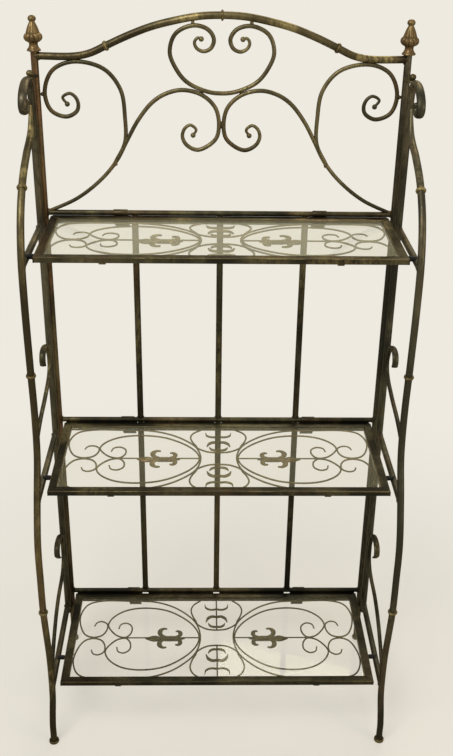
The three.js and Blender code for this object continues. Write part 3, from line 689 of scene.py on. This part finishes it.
def lug(shape, side, bottom):
    """Eye plate from a post to the upright's axis."""
    start = np.array((side * POST_X, 0.0))
    end = np.array((side * SIDE_X, -SETBACK))
    run = (end - start) / np.linalg.norm(end - start)
    across = np.array((-run[1], run[0]))
    turn = math.asin(LUG_ARM / LUG_EYE)
    outline = [start + across * LUG_ARM]
    for k in range(25):
        angle = math.pi - turn - 2 * (math.pi - turn) * k / 24
        outline.append(end + LUG_EYE * (run * math.cos(angle) + across * math.sin(angle)))
    outline.append(start - across * LUG_ARM)
    middle = (start + end) / 2
    rings = []
    top = LUG_THICK
    for height, shrink in ((0, LUG_EASE), (LUG_EASE, 0), (top - LUG_EASE, 0), (top, LUG_EASE)):
        ring = []
        for p in outline:
            pull = (middle - p) / np.linalg.norm(middle - p) * shrink
            ring.append((p[0] + pull[0], p[1] + pull[1], bottom + height))
        rings.append(ring)
    return shape.rings(rings)


def finial(hand, side):
    """Cast finial: flared foot, gadrooned bulb, fluted cone and a ball."""
    base = np.array((side * POST_X, 0.0, POST_TOP + GAP))
    shape = Shape()
    turned(shape, FINIAL_SKIRT, base, sides=48)

    def gadroon(angle, share):
        fade = math.sin(math.pi * share) ** 0.6
        return 1 - 0.16 * fade * (1 - abs(math.sin(FINIAL_LOBES * angle / 2)) ** 0.8)

    def flute(angle, share):
        return 1 - 0.13 * (1 - abs(math.cos(FINIAL_FLUTES * angle / 2)) ** 0.7) * (1 - 0.6 * share)

    bulb = []
    for i in range(15):
        turn = math.pi * (0.12 + 0.78 * i / 14)
        bulb.append((4.4 + 11.85 * math.sin(turn) ** 0.85, 23 - 8.6 * math.cos(turn)))
    turned(shape, bulb, base, sides=100, relief=gadroon)
    turned(shape, FINIAL_CONE, base, sides=80, relief=flute)
    turned(shape, FINIAL_TIP, base, sides=40)
    piece(f"{hand}_post_finial", shape, "back_frame", "finial", f"{hand}_finial", 40)


def foot(name, x, y, radius, body):
    """Low cup with a rounded rim and a groove round the tube."""
    profile = [(radius * share, height) for share, height in FOOT_CUP] + [(TUBE, 3.8), (TUBE, 9)]
    shape = turned(Shape(), profile, (x, y, 0), sides=40)
    piece(name + "_cup", shape, body, "bright", name, 40)


def build_posts():
    """Back posts with the lower lugs and hinge pins, the top lugs, finials and rear feet."""
    for hand, side in HANDS.items():
        shape = Shape()
        x = side * POST_X
        straight(shape, (x, 0, POST_START), (x, 0, POST_TOP), TUBE, TUBE_SIDES, 40,
                 forged(None, 80 + side, 0.004))
        bottom = UPRIGHT_FOOT - GAP - LUG_THICK
        lug(shape, side, bottom)
        straight(shape, (side * SIDE_X, -SETBACK, bottom),
                 (side * SIDE_X, -SETBACK, UPRIGHT_FOOT + HINGE_PIN_REACH), HINGE_PIN, 16, 2)
        weld(shape, (x + side * 1.4, -TUBE, bottom + 2), (5, 2.6, 3), 90 + side)
        piece(f"{hand}_post", shape, "back_frame", POST_COAT_WITH_PAINTED_REFLECTION[hand], f"{hand}_back_post")
        shape = lug(Shape(), side, LUG_RISE)
        weld(shape, (x + side * 1.4, -TUBE, LUG_RISE + 2), (5, 2.6, 3.4), 94 + side)
        piece(f"{hand}_lug", shape, "back_frame", "dark", f"{hand}_top_hinge_lug")
        finial(hand, side)
        foot(f"{hand}_rear_foot", x, 0, REAR_FOOT, "back_frame")


def build_cross_rails():
    """Cross rails, which are the shelves' axles, and the six bars between them."""
    end = POST_X - TUBE + 1
    for level in LEVELS:
        height = AXLE_HEIGHTS[level]
        shape = Shape()
        straight(shape, (-end, 0, height), (end, 0, height), AXLE, 20, 40, forged(None, 100, 0.004))
        for side in (-1, 1):
            weld(shape, (side * (end - 1.2), 0, height), (2.4, 6, 6.2), 110 + side)
        piece(f"{level}_axle", shape, "back_frame", "dark", f"{level}_cross_rail")
    bays = {"middle": ("top", "middle"), "lower": ("middle", "bottom")}
    for bay, (upper, lower) in bays.items():
        top = AXLE_HEIGHTS[upper] - AXLE + 1
        low = AXLE_HEIGHTS[lower] + AXLE - 1
        for hand, x in (("left", -BAR_SPACING), ("centre", 0), ("right", BAR_SPACING)):
            shape = Shape()
            straight(shape, (x, BAR_BACK, low), (x, BAR_BACK, top), BAR, 22, 24,
                     forged(None, 120 + x, 0.005))
            weld(shape, (x, BAR_BACK, top - 0.8), BAR_WELD, 130)
            weld(shape, (x, BAR_BACK, low + 0.8), BAR_WELD, 131)
            piece(f"{bay}_{hand}_bar", shape, "back_frame", "dark", f"{bay}_{hand}_back_bar")


# Side frames

LEG = [
    (1, 0.034), (0.972, 0.052), (0.918, 0.078), (0.908, 0.15), (0.9645, 0.222), (0.996, 0.265),
    (0.998, 0.317), (0.985, 0.384), (0.876, 0.447), (0.762, 0.499), (0.73, 0.566), (0.752, 0.649),
    (0.766, 0.736), (0.748, 0.8), (0.663, 0.85), (0.514, 0.887), (0.319, 0.911), (0.125, 0.929),
    (0.046, 0.962),
]
VOLUTE = [
    (0, 0.963), (0.009, 0.98), (0.036, 0.992), (0.09, 0.999), (0.18, 1), (0.262, 0.994),
    (0.318, 0.984), (0.328, 0.9735), (0.298, 0.966), (0.25, 0.9655), (0.222, 0.971), (0.228, 0.978),
]
LEG_COLLARS = {"upper": 0.879, "middle": 0.6255, "lower": 0.26}
BRACE_REST = (TUBE + GAP + BRACE) / LEG_REACH
MIDDLE_BRACE = [
    (0.294, 0.594), (0.306, 0.603), (0.284, 0.612), (0.213, 0.615), (0.11, 0.607), (0.055, 0.589),
    (BRACE_REST, 0.574), (0.062, 0.562), (0.138, 0.552), (0.248, 0.546), (0.358, 0.541), (0.496, 0.5365),
    (0.62, 0.53),
]
LOWER_BRACE = [
    (0.255, 0.238), (0.31, 0.252), (0.29, 0.264), (0.213, 0.2665), (0.11, 0.259), (0.055, 0.241),
    (BRACE_REST, 0.218), (0.058, 0.2), (0.115, 0.1885), (0.206, 0.1835), (0.309, 0.182), (0.4, 0.1795),
    (0.56, 0.168), (0.75, 0.143),
]
BRACES = {"middle": (MIDDLE_BRACE, 0.518), "lower": (LOWER_BRACE, 0.114)}
# Both front legs have one bronze finish; the left leg's lighter gold coat and the right leg's greyer
# coat are painted reflection of the room
LEG_COAT_WITH_PAINTED_REFLECTION = {"left": "gold", "right": "ash"}


def side_point(side, share):
    """Point of a side frame's plane, from its shares of the leg's reach and the volute's height."""
    return np.array((side * SIDE_X, -SETBACK - share[0] * LEG_REACH, share[1] * VOLUTE_HEIGHT))


def leg_route(side, per_span):
    """Points and tangents of a front leg's centre line, from the foot up."""
    foot_y = -SETBACK - LEG_REACH
    stations = [(side * SIDE_X, foot_y, LEG_START), (side * SIDE_X, foot_y, LEG_STRAIGHT)]
    return catmull(stations + [side_point(side, s) for s in LEG], per_span)


def leg_at(side, height):
    """The leg's centre and direction where it first passes a height."""
    points, tangents = leg_route(side, 24)
    index = int(np.argmax(points[:, 2] > height))
    return points[index], tangents[index]


def knob_piece(hand, side):
    """Bolt whose head is a ball on a low collar, through the top lug into the upright."""
    profile = [(HINGE_PIN, -20), (HINGE_PIN, 0), (KNOB * 0.8, 0), (KNOB * 0.86, 0.8), (KNOB * 0.72, 1.4)]
    for i in range(9):
        turn = math.pi * (0.24 + 0.76 * i / 8)
        profile.append((max(0.1, KNOB * math.sin(turn)), KNOB_HEIGHT - 4.6 - 5.4 * math.cos(turn)))
    shape = turned(Shape(), profile, (side * SIDE_X, -SETBACK, LUG_RISE + LUG_THICK + GAP))
    piece(f"{hand}_acorn_bolt", shape, f"{hand}_side_frame", "gold", f"{hand}_hinge_knob", 40)


def side_bar_piece(hand, side, level):
    """Side bar below a shelf, and the pin that the shelf rests on, a piece of its own."""
    body = f"{hand}_side_frame"
    x = side * SIDE_X
    height = AXLE_HEIGHTS[level] - SIDE_BAR_DROP
    front, _ = leg_at(side, height)
    shape = Shape()
    straight(shape, (x, -SETBACK - TUBE + 1.4, height), (x, front[1] + TUBE - 1.4, height),
             SIDE_BAR, 20, 10)
    weld(shape, (x, -SETBACK - TUBE - 0.4, height), (6.6, 2.6, 7), 150 + side)
    weld(shape, (x, front[1] + TUBE + 0.4, height), (6.6, 2.4, 6.8), 152 + side)
    piece(f"{hand}_{level}_bar", shape, body, "ash", f"{hand}_{level}_side_bar")
    shape = Shape()
    pin_y = -SETBACK - PIN_FORWARD
    pin_z = AXLE_HEIGHTS[level] - PIN_DROP
    start = side * (SHELF_WIDTH / 2 - PIN_INSET)
    straight(shape, (start, pin_y, pin_z), (x, pin_y, pin_z), PIN, 20, 3, None, (0.35, 0))
    near, far = SLEEVE
    straight(shape, (side * near, pin_y, pin_z), (side * far, pin_y, pin_z), PIN + SLEEVE_WALL, 20, 2)
    piece(f"{hand}_{level}_pin", shape, body, "rubber")


def build_side(hand, side):
    """One side frame: upright, knob, leg with its foot and collars, side bars, pins and braces."""
    body = f"{hand}_side_frame"
    stations = [(side * SIDE_X, -SETBACK, UPRIGHT_FOOT)] + [side_point(side, s) for s in VOLUTE]
    drawn = pressed(0.76, 1.2, 0.2, 0.5)
    shape = rod(Shape(), stations, ACROSS_X, TUBE, TUBE_SIDES, 12, drawn, (0, 0.35))
    piece(f"{hand}_hinged_upright", shape, body, "smoke", f"{hand}_upright")
    knob_piece(hand, side)
    points, tangents = leg_route(side, 8)
    bulk = forged(taper(1, 0.45, 0.06), 140 + side, 0.008)
    shape = Shape().rings(skin_rings(points, tangents, ACROSS_X, TUBE, 24, bulk), 0, 0.8)
    piece(f"{hand}_cabriole_leg", shape, body, LEG_COAT_WITH_PAINTED_REFLECTION[hand], f"{hand}_front_leg")
    foot(f"{hand}_front_foot", side * SIDE_X, -SETBACK - LEG_REACH, FRONT_FOOT, body)
    for name, share in LEG_COLLARS.items():
        centre, direction = leg_at(side, share * VOLUTE_HEIGHT)
        collar(f"{hand}_{name}_leg_collar", centre, direction, *COLLAR, body)
    for level in LEVELS:
        side_bar_piece(hand, side, level)
    for name, (shares, end) in BRACES.items():
        stations = [side_point(side, s) for s in shares]
        last, _ = leg_at(side, end * VOLUTE_HEIGHT)
        stations.append(last)
        shape = Shape()
        rod(shape, stations, ACROSS_X, BRACE, 18, 8, pressed(0.6, 1.5, 0.42, 0.2), (0.12, 0))
        weld(shape, side_point(side, (0.03, shares[6][1])), (3.6, 2.4, 6), 162)
        piece(f"{hand}_{name}_s_brace", shape, body, "dark", f"{hand}_{name}_brace")


# Shelves

# The notched outline's ten corners as faces without a hollow corner
NOTCHED_END = [(0, 1, 8, 9), (1, 2, 3, 8), (3, 7, 8), (3, 4, 6, 7), (4, 5, 6)]


def notched_prism(shape, rings):
    """A skin over rings of the notched outline."""
    count = len(rings[0])
    points = [p for ring in rings for p in ring]
    faces = []
    for start in range(0, (len(rings) - 1) * count, count):
        for k in range(count):
            after = (k + 1) % count
            faces.append((start + k, start + after, start + count + after, start + count + k))
    for base, turn in ((0, 1), ((len(rings) - 1) * count, -1)):
        faces += [tuple(base + corner for corner in part)[::turn] for part in NOTCHED_END]
    return shape.add(points, faces)


def eased_box(shape, low, high, edge):
    """Box with its edges cut back, as four-cornered rings."""
    rings = []
    for height, shrink in ((low[2], edge), (low[2] + edge, 0), (high[2] - edge, 0), (high[2], edge)):
        rings.append([
            (low[0] + shrink, low[1] + shrink, height), (high[0] - shrink, low[1] + shrink, height),
            (high[0] - shrink, high[1] - shrink, height), (low[0] + shrink, high[1] - shrink, height),
        ])
    return shape.rings(rings)


def strap(shape, x, axle):
    """Flat strap: a tab under the glass, then under the rear rail, up behind it and round the axle."""
    skew = -math.copysign(STRAP_SKEW, x)
    lay = -SHELF_DROP - RAIL_HEIGHT - STRAP_THICK / 2
    radius = AXLE + STRAP_PLAY + STRAP_THICK / 2
    tab = -SHELF_SETBACK - RAIL_WIDTH - STRAP_LAP
    path = [(tab, lay), (tab * 0.6, lay), (-10, lay)]
    path += [(-7, lay + 0.6), (-2.2, lay + 3.4), (0.6, lay + 5.6)]
    for degrees in range(-62, 176, 14):
        angle = math.radians(degrees)
        path.append((radius * math.cos(angle), radius * math.sin(angle)))
    path = [np.array((0.0, y, z + axle)) for y, z in path]
    half = STRAP_WIDTH / 2
    flat = half - STRAP_EASE
    section = [(-half, 0.45), (-flat, 1), (flat, 1), (half, 0.45),
               (half, -0.45), (flat, -1), (-flat, -1), (-half, -0.45)]
    rings = []
    for i, point in enumerate(path):
        ahead = path[min(i + 1, len(path) - 1)] - path[max(i - 1, 0)]
        ahead /= np.linalg.norm(ahead)
        out = np.array((0.0, -ahead[2], ahead[1])) * STRAP_THICK / 2
        aside = skew * min(1.0, max(0.0, (point[1] + 4) / (tab + 4)))
        rings.append([point + out * up + (x + aside + across, 0, 0) for across, up in section])
    return shape.rings(rings)


def shelf_edges(level):
    """Front and rear edge of a shelf's frame, and its top."""
    rear = -SHELF_SETBACK
    return rear - SHELF_DEPTHS[level], rear, AXLE_HEIGHTS[level] - SHELF_DROP


def mitred_bar(shape, corners, low, top):
    """Shelf bar from its corners in plan, given round, with eased edges; the upper ones take the second
    finish, a lighter coat that paints a highlight on them.
    """
    corners = [np.array(c, float) for c in corners]
    sides = len(corners)
    slight = RAIL_EASE * 0.3
    rings = []
    for height, shrink in ((low, RAIL_EASE), (low + slight, slight), (low + RAIL_EASE, 0),
                           (top - RAIL_EASE, 0), (top - slight, slight), (top, RAIL_EASE)):
        ring = []
        for k, corner in enumerate(corners):
            before = corners[k - 1] - corner
            after = corners[(k + 1) % sides] - corner
            pull = before / np.linalg.norm(before) + after / np.linalg.norm(after)
            ring.append((*(corner + pull * shrink), height))
        rings.append(ring)
    first = len(shape.tones)
    shape.rings(rings)
    # The upper eased edges take the second finish, a painted highlight
    shape.tones[first + 3 * sides:first + 5 * sides] = [1] * (2 * sides)


def side_rail(shape, side, level):
    """Shelf bar along one side, notched below for the side frame's pin; its upper edges take the second
    finish, a painted highlight.
    """
    front, rear, top = shelf_edges(level)
    low = top - RAIL_HEIGHT
    notch_y = -SETBACK - PIN_FORWARD
    notch = PIN + NOTCH_SLACK
    ceiling = AXLE_HEIGHTS[level] - PIN_DROP + PIN + GAP

    def outline(y_front, y_rear):
        return [
            (y_front, low), (notch_y - notch, low), (notch_y - notch, ceiling),
            (notch_y + notch, ceiling), (notch_y + notch, low), (y_rear, low), (y_rear, top),
            (notch_y + notch, top), (notch_y - notch, top), (y_front, top),
        ]

    def lowered(ring):
        return [(y, z - RAIL_EASE if z == top else z) for y, z in ring]

    outer = outline(front, rear)
    inside = outline(front + RAIL_WIDTH, rear - RAIL_WIDTH)
    outer_x = side * SHELF_WIDTH / 2
    inner_x = side * (SHELF_WIDTH / 2 - RAIL_WIDTH)
    ease = side * RAIL_EASE
    rings = [
        [(outer_x, y, z) for y, z in lowered(outer)], [(outer_x - ease, y, z) for y, z in outer],
        [(inner_x + ease, y, z) for y, z in inside], [(inner_x, y, z) for y, z in lowered(inside)],
    ]
    first = len(shape.tones)
    notched_prism(shape, rings)
    # The top edges of the outer and inner faces take the second finish, a painted highlight
    for k in (6, 7, 8):
        shape.tones[first + k] = 1
        shape.tones[first + 2 * len(outer) + k] = 1


def frame_piece(level):
    """Shelf frame: four mitred bars, strips behind between the back bars, straps and front rests."""
    front, rear, top = shelf_edges(level)
    low = top - RAIL_HEIGHT
    half = SHELF_WIDTH / 2
    inner = half - RAIL_WIDTH
    shape = Shape()
    for turn, outer_y, inner_y in ((1, rear, rear - RAIL_WIDTH), (-1, front, front + RAIL_WIDTH)):
        corners = [(-half, outer_y), (half, outer_y), (inner, inner_y), (-inner, inner_y)]
        mitred_bar(shape, [(turn * x, y) for x, y in corners], low, top)
    clear = BAR + REAR_LIP_CLEARANCE
    for start, end in ((-half + 3, -BAR_SPACING - clear), (-BAR_SPACING + clear, -clear)):
        for left, right in ((start, end), (-end, -start)):
            eased_box(shape, (left, rear - 1, top - REAR_LIP_DEEP), (right, -REAR_LIP, top), SLIGHT_EASE)
    for side in (-1, 1):
        side_rail(shape, side, level)
    for side in (-1, 1):
        strap(shape, side * STRAP_SPACING / 2, AXLE_HEIGHTS[level])
        nub = side * NUB_SPACING / 2
        eased_box(shape, (nub - NUB_WIDTH / 2, front, low - NUB_HEIGHT),
                  (nub + NUB_WIDTH / 2, front + RAIL_WIDTH / 2, low + 1), 1.2)
    # The second finish, a lighter bronze, is a painted highlight on the bars' upper edges
    piece(f"{level}_shelf_ring", shape, f"{level}_shelf", "dark", f"{level}_shelf_frame", 35, "painted_edge_highlight")


OUTER_WIRE = [
    (0.887, 0.31), (0.872, 0.4), (0.838, 0.43), (0.798, 0.36), (0.796, 0.2), (0.827, 0.06),
    (0.887, 0.014), (0.945, 0.08), (0.99, 0.33), (1, 0.62), (0.955, 0.9), (0.86, 1), (0.66, 1),
    (0.452, 0.965), (0.304, 0.8), (0.185, 0.52), (0.145, 0.35), (0.124, 0.16), (0.118, 0),
]
INNER_WIRE = [
    (0.71, 0.24), (0.697, 0.35), (0.657, 0.385), (0.618, 0.3), (0.618, 0.13), (0.652, 0.014),
    (0.707, 0.04), (0.758, 0.17), (0.788, 0.33), (0.775, 0.47), (0.735, 0.61), (0.654, 0.745),
    (0.523, 0.8), (0.361, 0.72), (0.212, 0.446), (0.145, 0.2), (0.127, 0),
]
CENTRE_LOOP = [
    (0.12, 1), (0.17, 0.88), (0.188, 0.74), (0.175, 0.57), (0.152, 0.44), (0.139, 0.35),
    (0.072, 0.225), (0, 0.2),
]


class Field:
    """Plane of a shelf's wirework, whose stations are shares of its half width and half depth."""

    def __init__(self, level):
        inset = WIRE + GAP
        front, rear, top = shelf_edges(level)
        front += RAIL_WIDTH
        rear -= RAIL_WIDTH
        self.half_width = SHELF_WIDTH / 2 - RAIL_WIDTH - inset
        self.half_depth = (rear - front) / 2 - inset
        self.middle = (rear + front) / 2
        self.height = top - GLASS_SINK - GAP - GLASS - WIRE

    def at(self, share, side=1, end=1):
        return np.array((
            side * share[0] * self.half_width,
            self.middle + end * share[1] * self.half_depth,
            self.height,
        ))


# Where each shelf's fleurs sit, as a share of its half width, and their outlines
FLEUR_PLACES = {"top": 0.349, "middle": 0.376, "bottom": 0.352}
LARGE_PETAL = [
    (-0.3, 0.16), (-0.62, 0.34), (-0.83, 0.64), (-0.86, 0.98), (-0.72, 1.28), (-0.46, 1.46),
    (-0.16, 1.44),
]
SMALL_PETAL = [(0.86, 0.14), (1.16, 0.3), (1.33, 0.58), (1.26, 0.9), (1.08, 1.06), (0.86, 1.04)]
CENTRE_PETALS = {
    "rail": [(0, 0.77), (0.045, 0.76), (0.078, 0.81), (0.086, 0.9)],
    "upper": [(0, 0.56), (0.035, 0.57), (0.062, 0.52), (0.076, 0.43)],
    "lower": [(0, 0.29), (0.03, 0.295), (0.05, 0.33), (0.06, 0.38)],
}
CENTRE_PETAL_WIDTHS = {"rail": 2.1, "upper": 3.8, "lower": 2.8}
TONGUE = [
    (0.1, -48), (1.6, -46.4), (3.4, -43), (5.4, -39), (7.1, -35), (8.1, -31), (8.4, -27.4), (8, -24),
    (6.8, -20.6), (5.6, -17.6), (5.4, -14), (6.2, -10), (7, -6.6), (6.8, -5),
]
CONE = [
    (6.6, 13.4), (7.2, 14.2), (7.6, 16), (7.4, 18.6), (6.4, 22), (5, 25.6), (3.4, 29.6), (2.2, 33.4),
    (1.7, 36),
]


def petal(shape, points, width):
    """One curled petal of a casting, broad at its root and thin at its tip."""

    def bulk(t):
        swell = (0.72 + 0.32 * math.sin(math.pi * t)) * (1 - 0.5 * smooth(t, 0.55, 1.0))
        return width * swell / WIRE, 1.45 - 0.35 * t

    points = [point - (0, 0, 0.9) for point in points]
    rod(shape, points, ACROSS_Z, WIRE, 12, 7, bulk, (0.5, 0.8))


def fleur(shape, place, side):
    """Cast fleur: a tongue, a ribbed band, a cone and two pairs of curled petals."""
    inward = np.array((-side, 0.0, 0.0))

    def flatten(angle, _):
        return 1 / math.hypot(math.cos(angle) / FLEUR_FLATNESS, math.sin(angle))

    core = place - (0, 0, FLEUR_THICK / 2 - WIRE)
    band = [(5.6, -5.6)]
    for k in range(5):
        start = -5.2 + k * 3.8
        band += [(7.4, start), (8.3, start + 1.2), (7.4, start + 2.4), (5.8, start + 3.2)]
    band.append((5.6, 14))
    for profile in (TONGUE, band, CONE):
        turned(shape, profile, core, inward, 24, flatten)
    for hand in (-1, 1):
        for shares, width in ((LARGE_PETAL, PETAL), (SMALL_PETAL, PETAL * 0.88)):
            points = []
            for along, across in shares:
                points.append(place + inward * along * FLEUR_REACH + (0, hand * across * FLEUR_REACH, 0))
            petal(shape, points, width)


def wirework_piece(level):
    """Wire scrolls of one shelf, with two fleurs and the small castings on its middle line."""
    field = Field(level)
    shape = Shape()

    def curls(t):
        near = min(t, 1 - t) / 0.12
        share = 0.82 + 0.18 * min(1, near)
        return share, share

    for side in (-1, 1):
        for shares in (OUTER_WIRE, INNER_WIRE):
            stations = [field.at(s, side) for s in shares]
            stations += [field.at(s, side, -1) for s in shares[:-1]][::-1]
            rod(shape, stations, ACROSS_Z, WIRE, WIRE_SIDES, 5, curls, (0.7, 0.7))
        straight(shape, field.at((0.66, 0), side), field.at((0.125, 0), side), THIN_WIRE, WIRE_SIDES, 6)
        fleur(shape, field.at((FLEUR_PLACES[level], 0), side), side)
    for end in (-1, 1):
        stations = [field.at(s, -1, end) for s in CENTRE_LOOP]
        stations += [field.at(s, 1, end) for s in CENTRE_LOOP[:-1]][::-1]
        rod(shape, stations, ACROSS_Z, WIRE, WIRE_SIDES, 6)
        straight(shape, field.at((0, 1), 1, end), field.at((0, 0.2), 1, end), THIN_WIRE, WIRE_SIDES, 4)
        for side in (-1, 1):
            for name, shares in CENTRE_PETALS.items():
                petal(shape, [field.at(share, side, end) for share in shares], CENTRE_PETAL_WIDTHS[name])
        for share, size in ((0.77, 3.4), (0.56, 4), (0.29, 3.6)):
            ball(shape, field.at((0, share), 1, end) - (0, 0, 0.6), size, (1, 1, 0.62))
    piece(f"{level}_wire_pattern", shape, f"{level}_shelf", "wire", f"{level}_shelf_wirework", 50)


def glass_piece(level):
    """Pane inside the shelf frame, a little below its top."""
    front, rear, top = shelf_edges(level)
    half = SHELF_WIDTH / 2 - RAIL_WIDTH - GAP
    top -= GLASS_SINK
    near = front + RAIL_WIDTH + GAP
    far = rear - RAIL_WIDTH - GAP
    shape = eased_box(Shape(), (-half, near, top - GLASS), (half, far, top), 0.7)
    piece(f"{level}_pane", shape, f"{level}_shelf", "glass", f"{level}_shelf_glass", 30)


# Room

BACKDROP = (238, 234, 224)
FLOOR = (232, 228, 218)
FLOOR_HALF = 40.0
AIR = (240, 238, 232)
AIR_STRENGTH = 0.4
# Each lamp's place and aim in metres, its power in watts, its size in metres and its tint
LAMPS = {
    "key": ((-1.1, -1.6, 3.1), (0, 0.0, 0.7), 60, 1.5, (252, 250, 246)),
    "fill": ((2.4, -1.8, 1.6), (0, 0.0, 0.7), 22, 1.2, (255, 236, 204)),
    "rim": ((0.6, 1.9, 2.9), (0, 0.0, 0.9), 26, 1.4, (255, 250, 240)),
}


def build_room():
    """A pale floor that fades into the backdrop's even tone away from the rack."""
    n = Finish("floor_pale")
    n.shade({"Base Color": colour(FLOOR), "Roughness": 0.8, "Specular IOR Level": 0.1})
    reach = n.new("VectorMath")
    reach.operation = "LENGTH"
    n.link(n.place, reach.inputs[0])
    far = n.ramp(reach.outputs["Value"], 0.25, 1.5, 0.5, 1.0)
    glow = n.new("Emission")
    glow.inputs["Color"].default_value = colour(BACKDROP)
    shown = n.times(far, n.new("LightPath").outputs["Is Camera Ray"])
    n.mix_shaders(shown, n.shader.outputs["BSDF"], glow.outputs["Emission"], "Material Output")
    mesh = bpy.data.meshes.new("floor")
    half = FLOOR_HALF
    corners = [(-half, -half, 0), (half, -half, 0), (half, half, 0), (-half, half, 0)]
    mesh.from_pydata(corners, [], [(0, 1, 2, 3)])
    mesh.materials.append(n.material)
    floor = bpy.data.objects.new("floor", mesh)
    bpy.context.scene.collection.objects.link(floor)


def build_lights():
    """Even, dim air and three soft lamps; camera, gloss and glass see the backdrop's tone instead."""
    world = bpy.data.worlds.new("room")
    bpy.context.scene.world = world
    world.use_nodes = True
    n = Nodes(world.node_tree)
    back = n.tree.nodes["Background"]
    air = n.new("Background")
    for node, tone, strength in ((back, BACKDROP, 1.0), (air, AIR, AIR_STRENGTH)):
        node.inputs["Color"].default_value = colour(tone)
        node.inputs["Strength"].default_value = strength
    rays = n.new("LightPath").outputs
    shown = rays["Is Camera Ray"]
    for name in ("Is Glossy Ray", "Is Transmission Ray"):
        shown = n.math("MAXIMUM", shown, rays[name])
    n.mix_shaders(shown, air.outputs["Background"], back.outputs["Background"], "World Output")
    for name, (place, aim, power, size, tint) in LAMPS.items():
        data = bpy.data.lights.new(name, "AREA")
        data.energy = power
        data.size = size
        data.color = colour(tint)[:3]
        lamp = bpy.data.objects.new(name, data)
        lamp.location = place
        lamp.rotation_euler = (Vector(aim) - Vector(place)).to_track_quat("-Z", "Y").to_euler()
        bpy.context.scene.collection.objects.link(lamp)
    bpy.context.scene.view_settings.view_transform = "Standard"


def build_camera():
    """Camera at the photograph's place, from the fitted angles."""
    tilt, roll, yaw = (math.radians(a) for a in (TILT, ROLL, YAW))
    forward = Vector((math.sin(yaw) * math.cos(tilt), math.cos(yaw) * math.cos(tilt), -math.sin(tilt)))
    right = Vector((math.cos(yaw), -math.sin(yaw), 0))
    down = forward.cross(right)
    turned_right = right * math.cos(roll) + down * math.sin(roll)
    turned_down = down * math.cos(roll) - right * math.sin(roll)
    data = bpy.data.cameras.new("photo_view")
    data.sensor_fit = "VERTICAL"
    data.sensor_height = 24.0
    data.lens = FOCAL_PX / PHOTO_HEIGHT * data.sensor_height
    camera = bpy.data.objects.new("photo_view", data)
    axes = Matrix((turned_right, -turned_down, -forward)).transposed()
    camera.matrix_world = Matrix.Translation(to_row(EYE)) @ axes.to_4x4()
    bpy.context.scene.collection.objects.link(camera)
    bpy.context.scene.camera = camera


build_camera()
build_room()
build_lights()
build_header()
build_posts()
build_cross_rails()
for hand_name, hand_side in HANDS.items():
    build_side(hand_name, hand_side)
for shelf_level in LEVELS:
    frame_piece(shelf_level)
    wirework_piece(shelf_level)
    glass_piece(shelf_level)
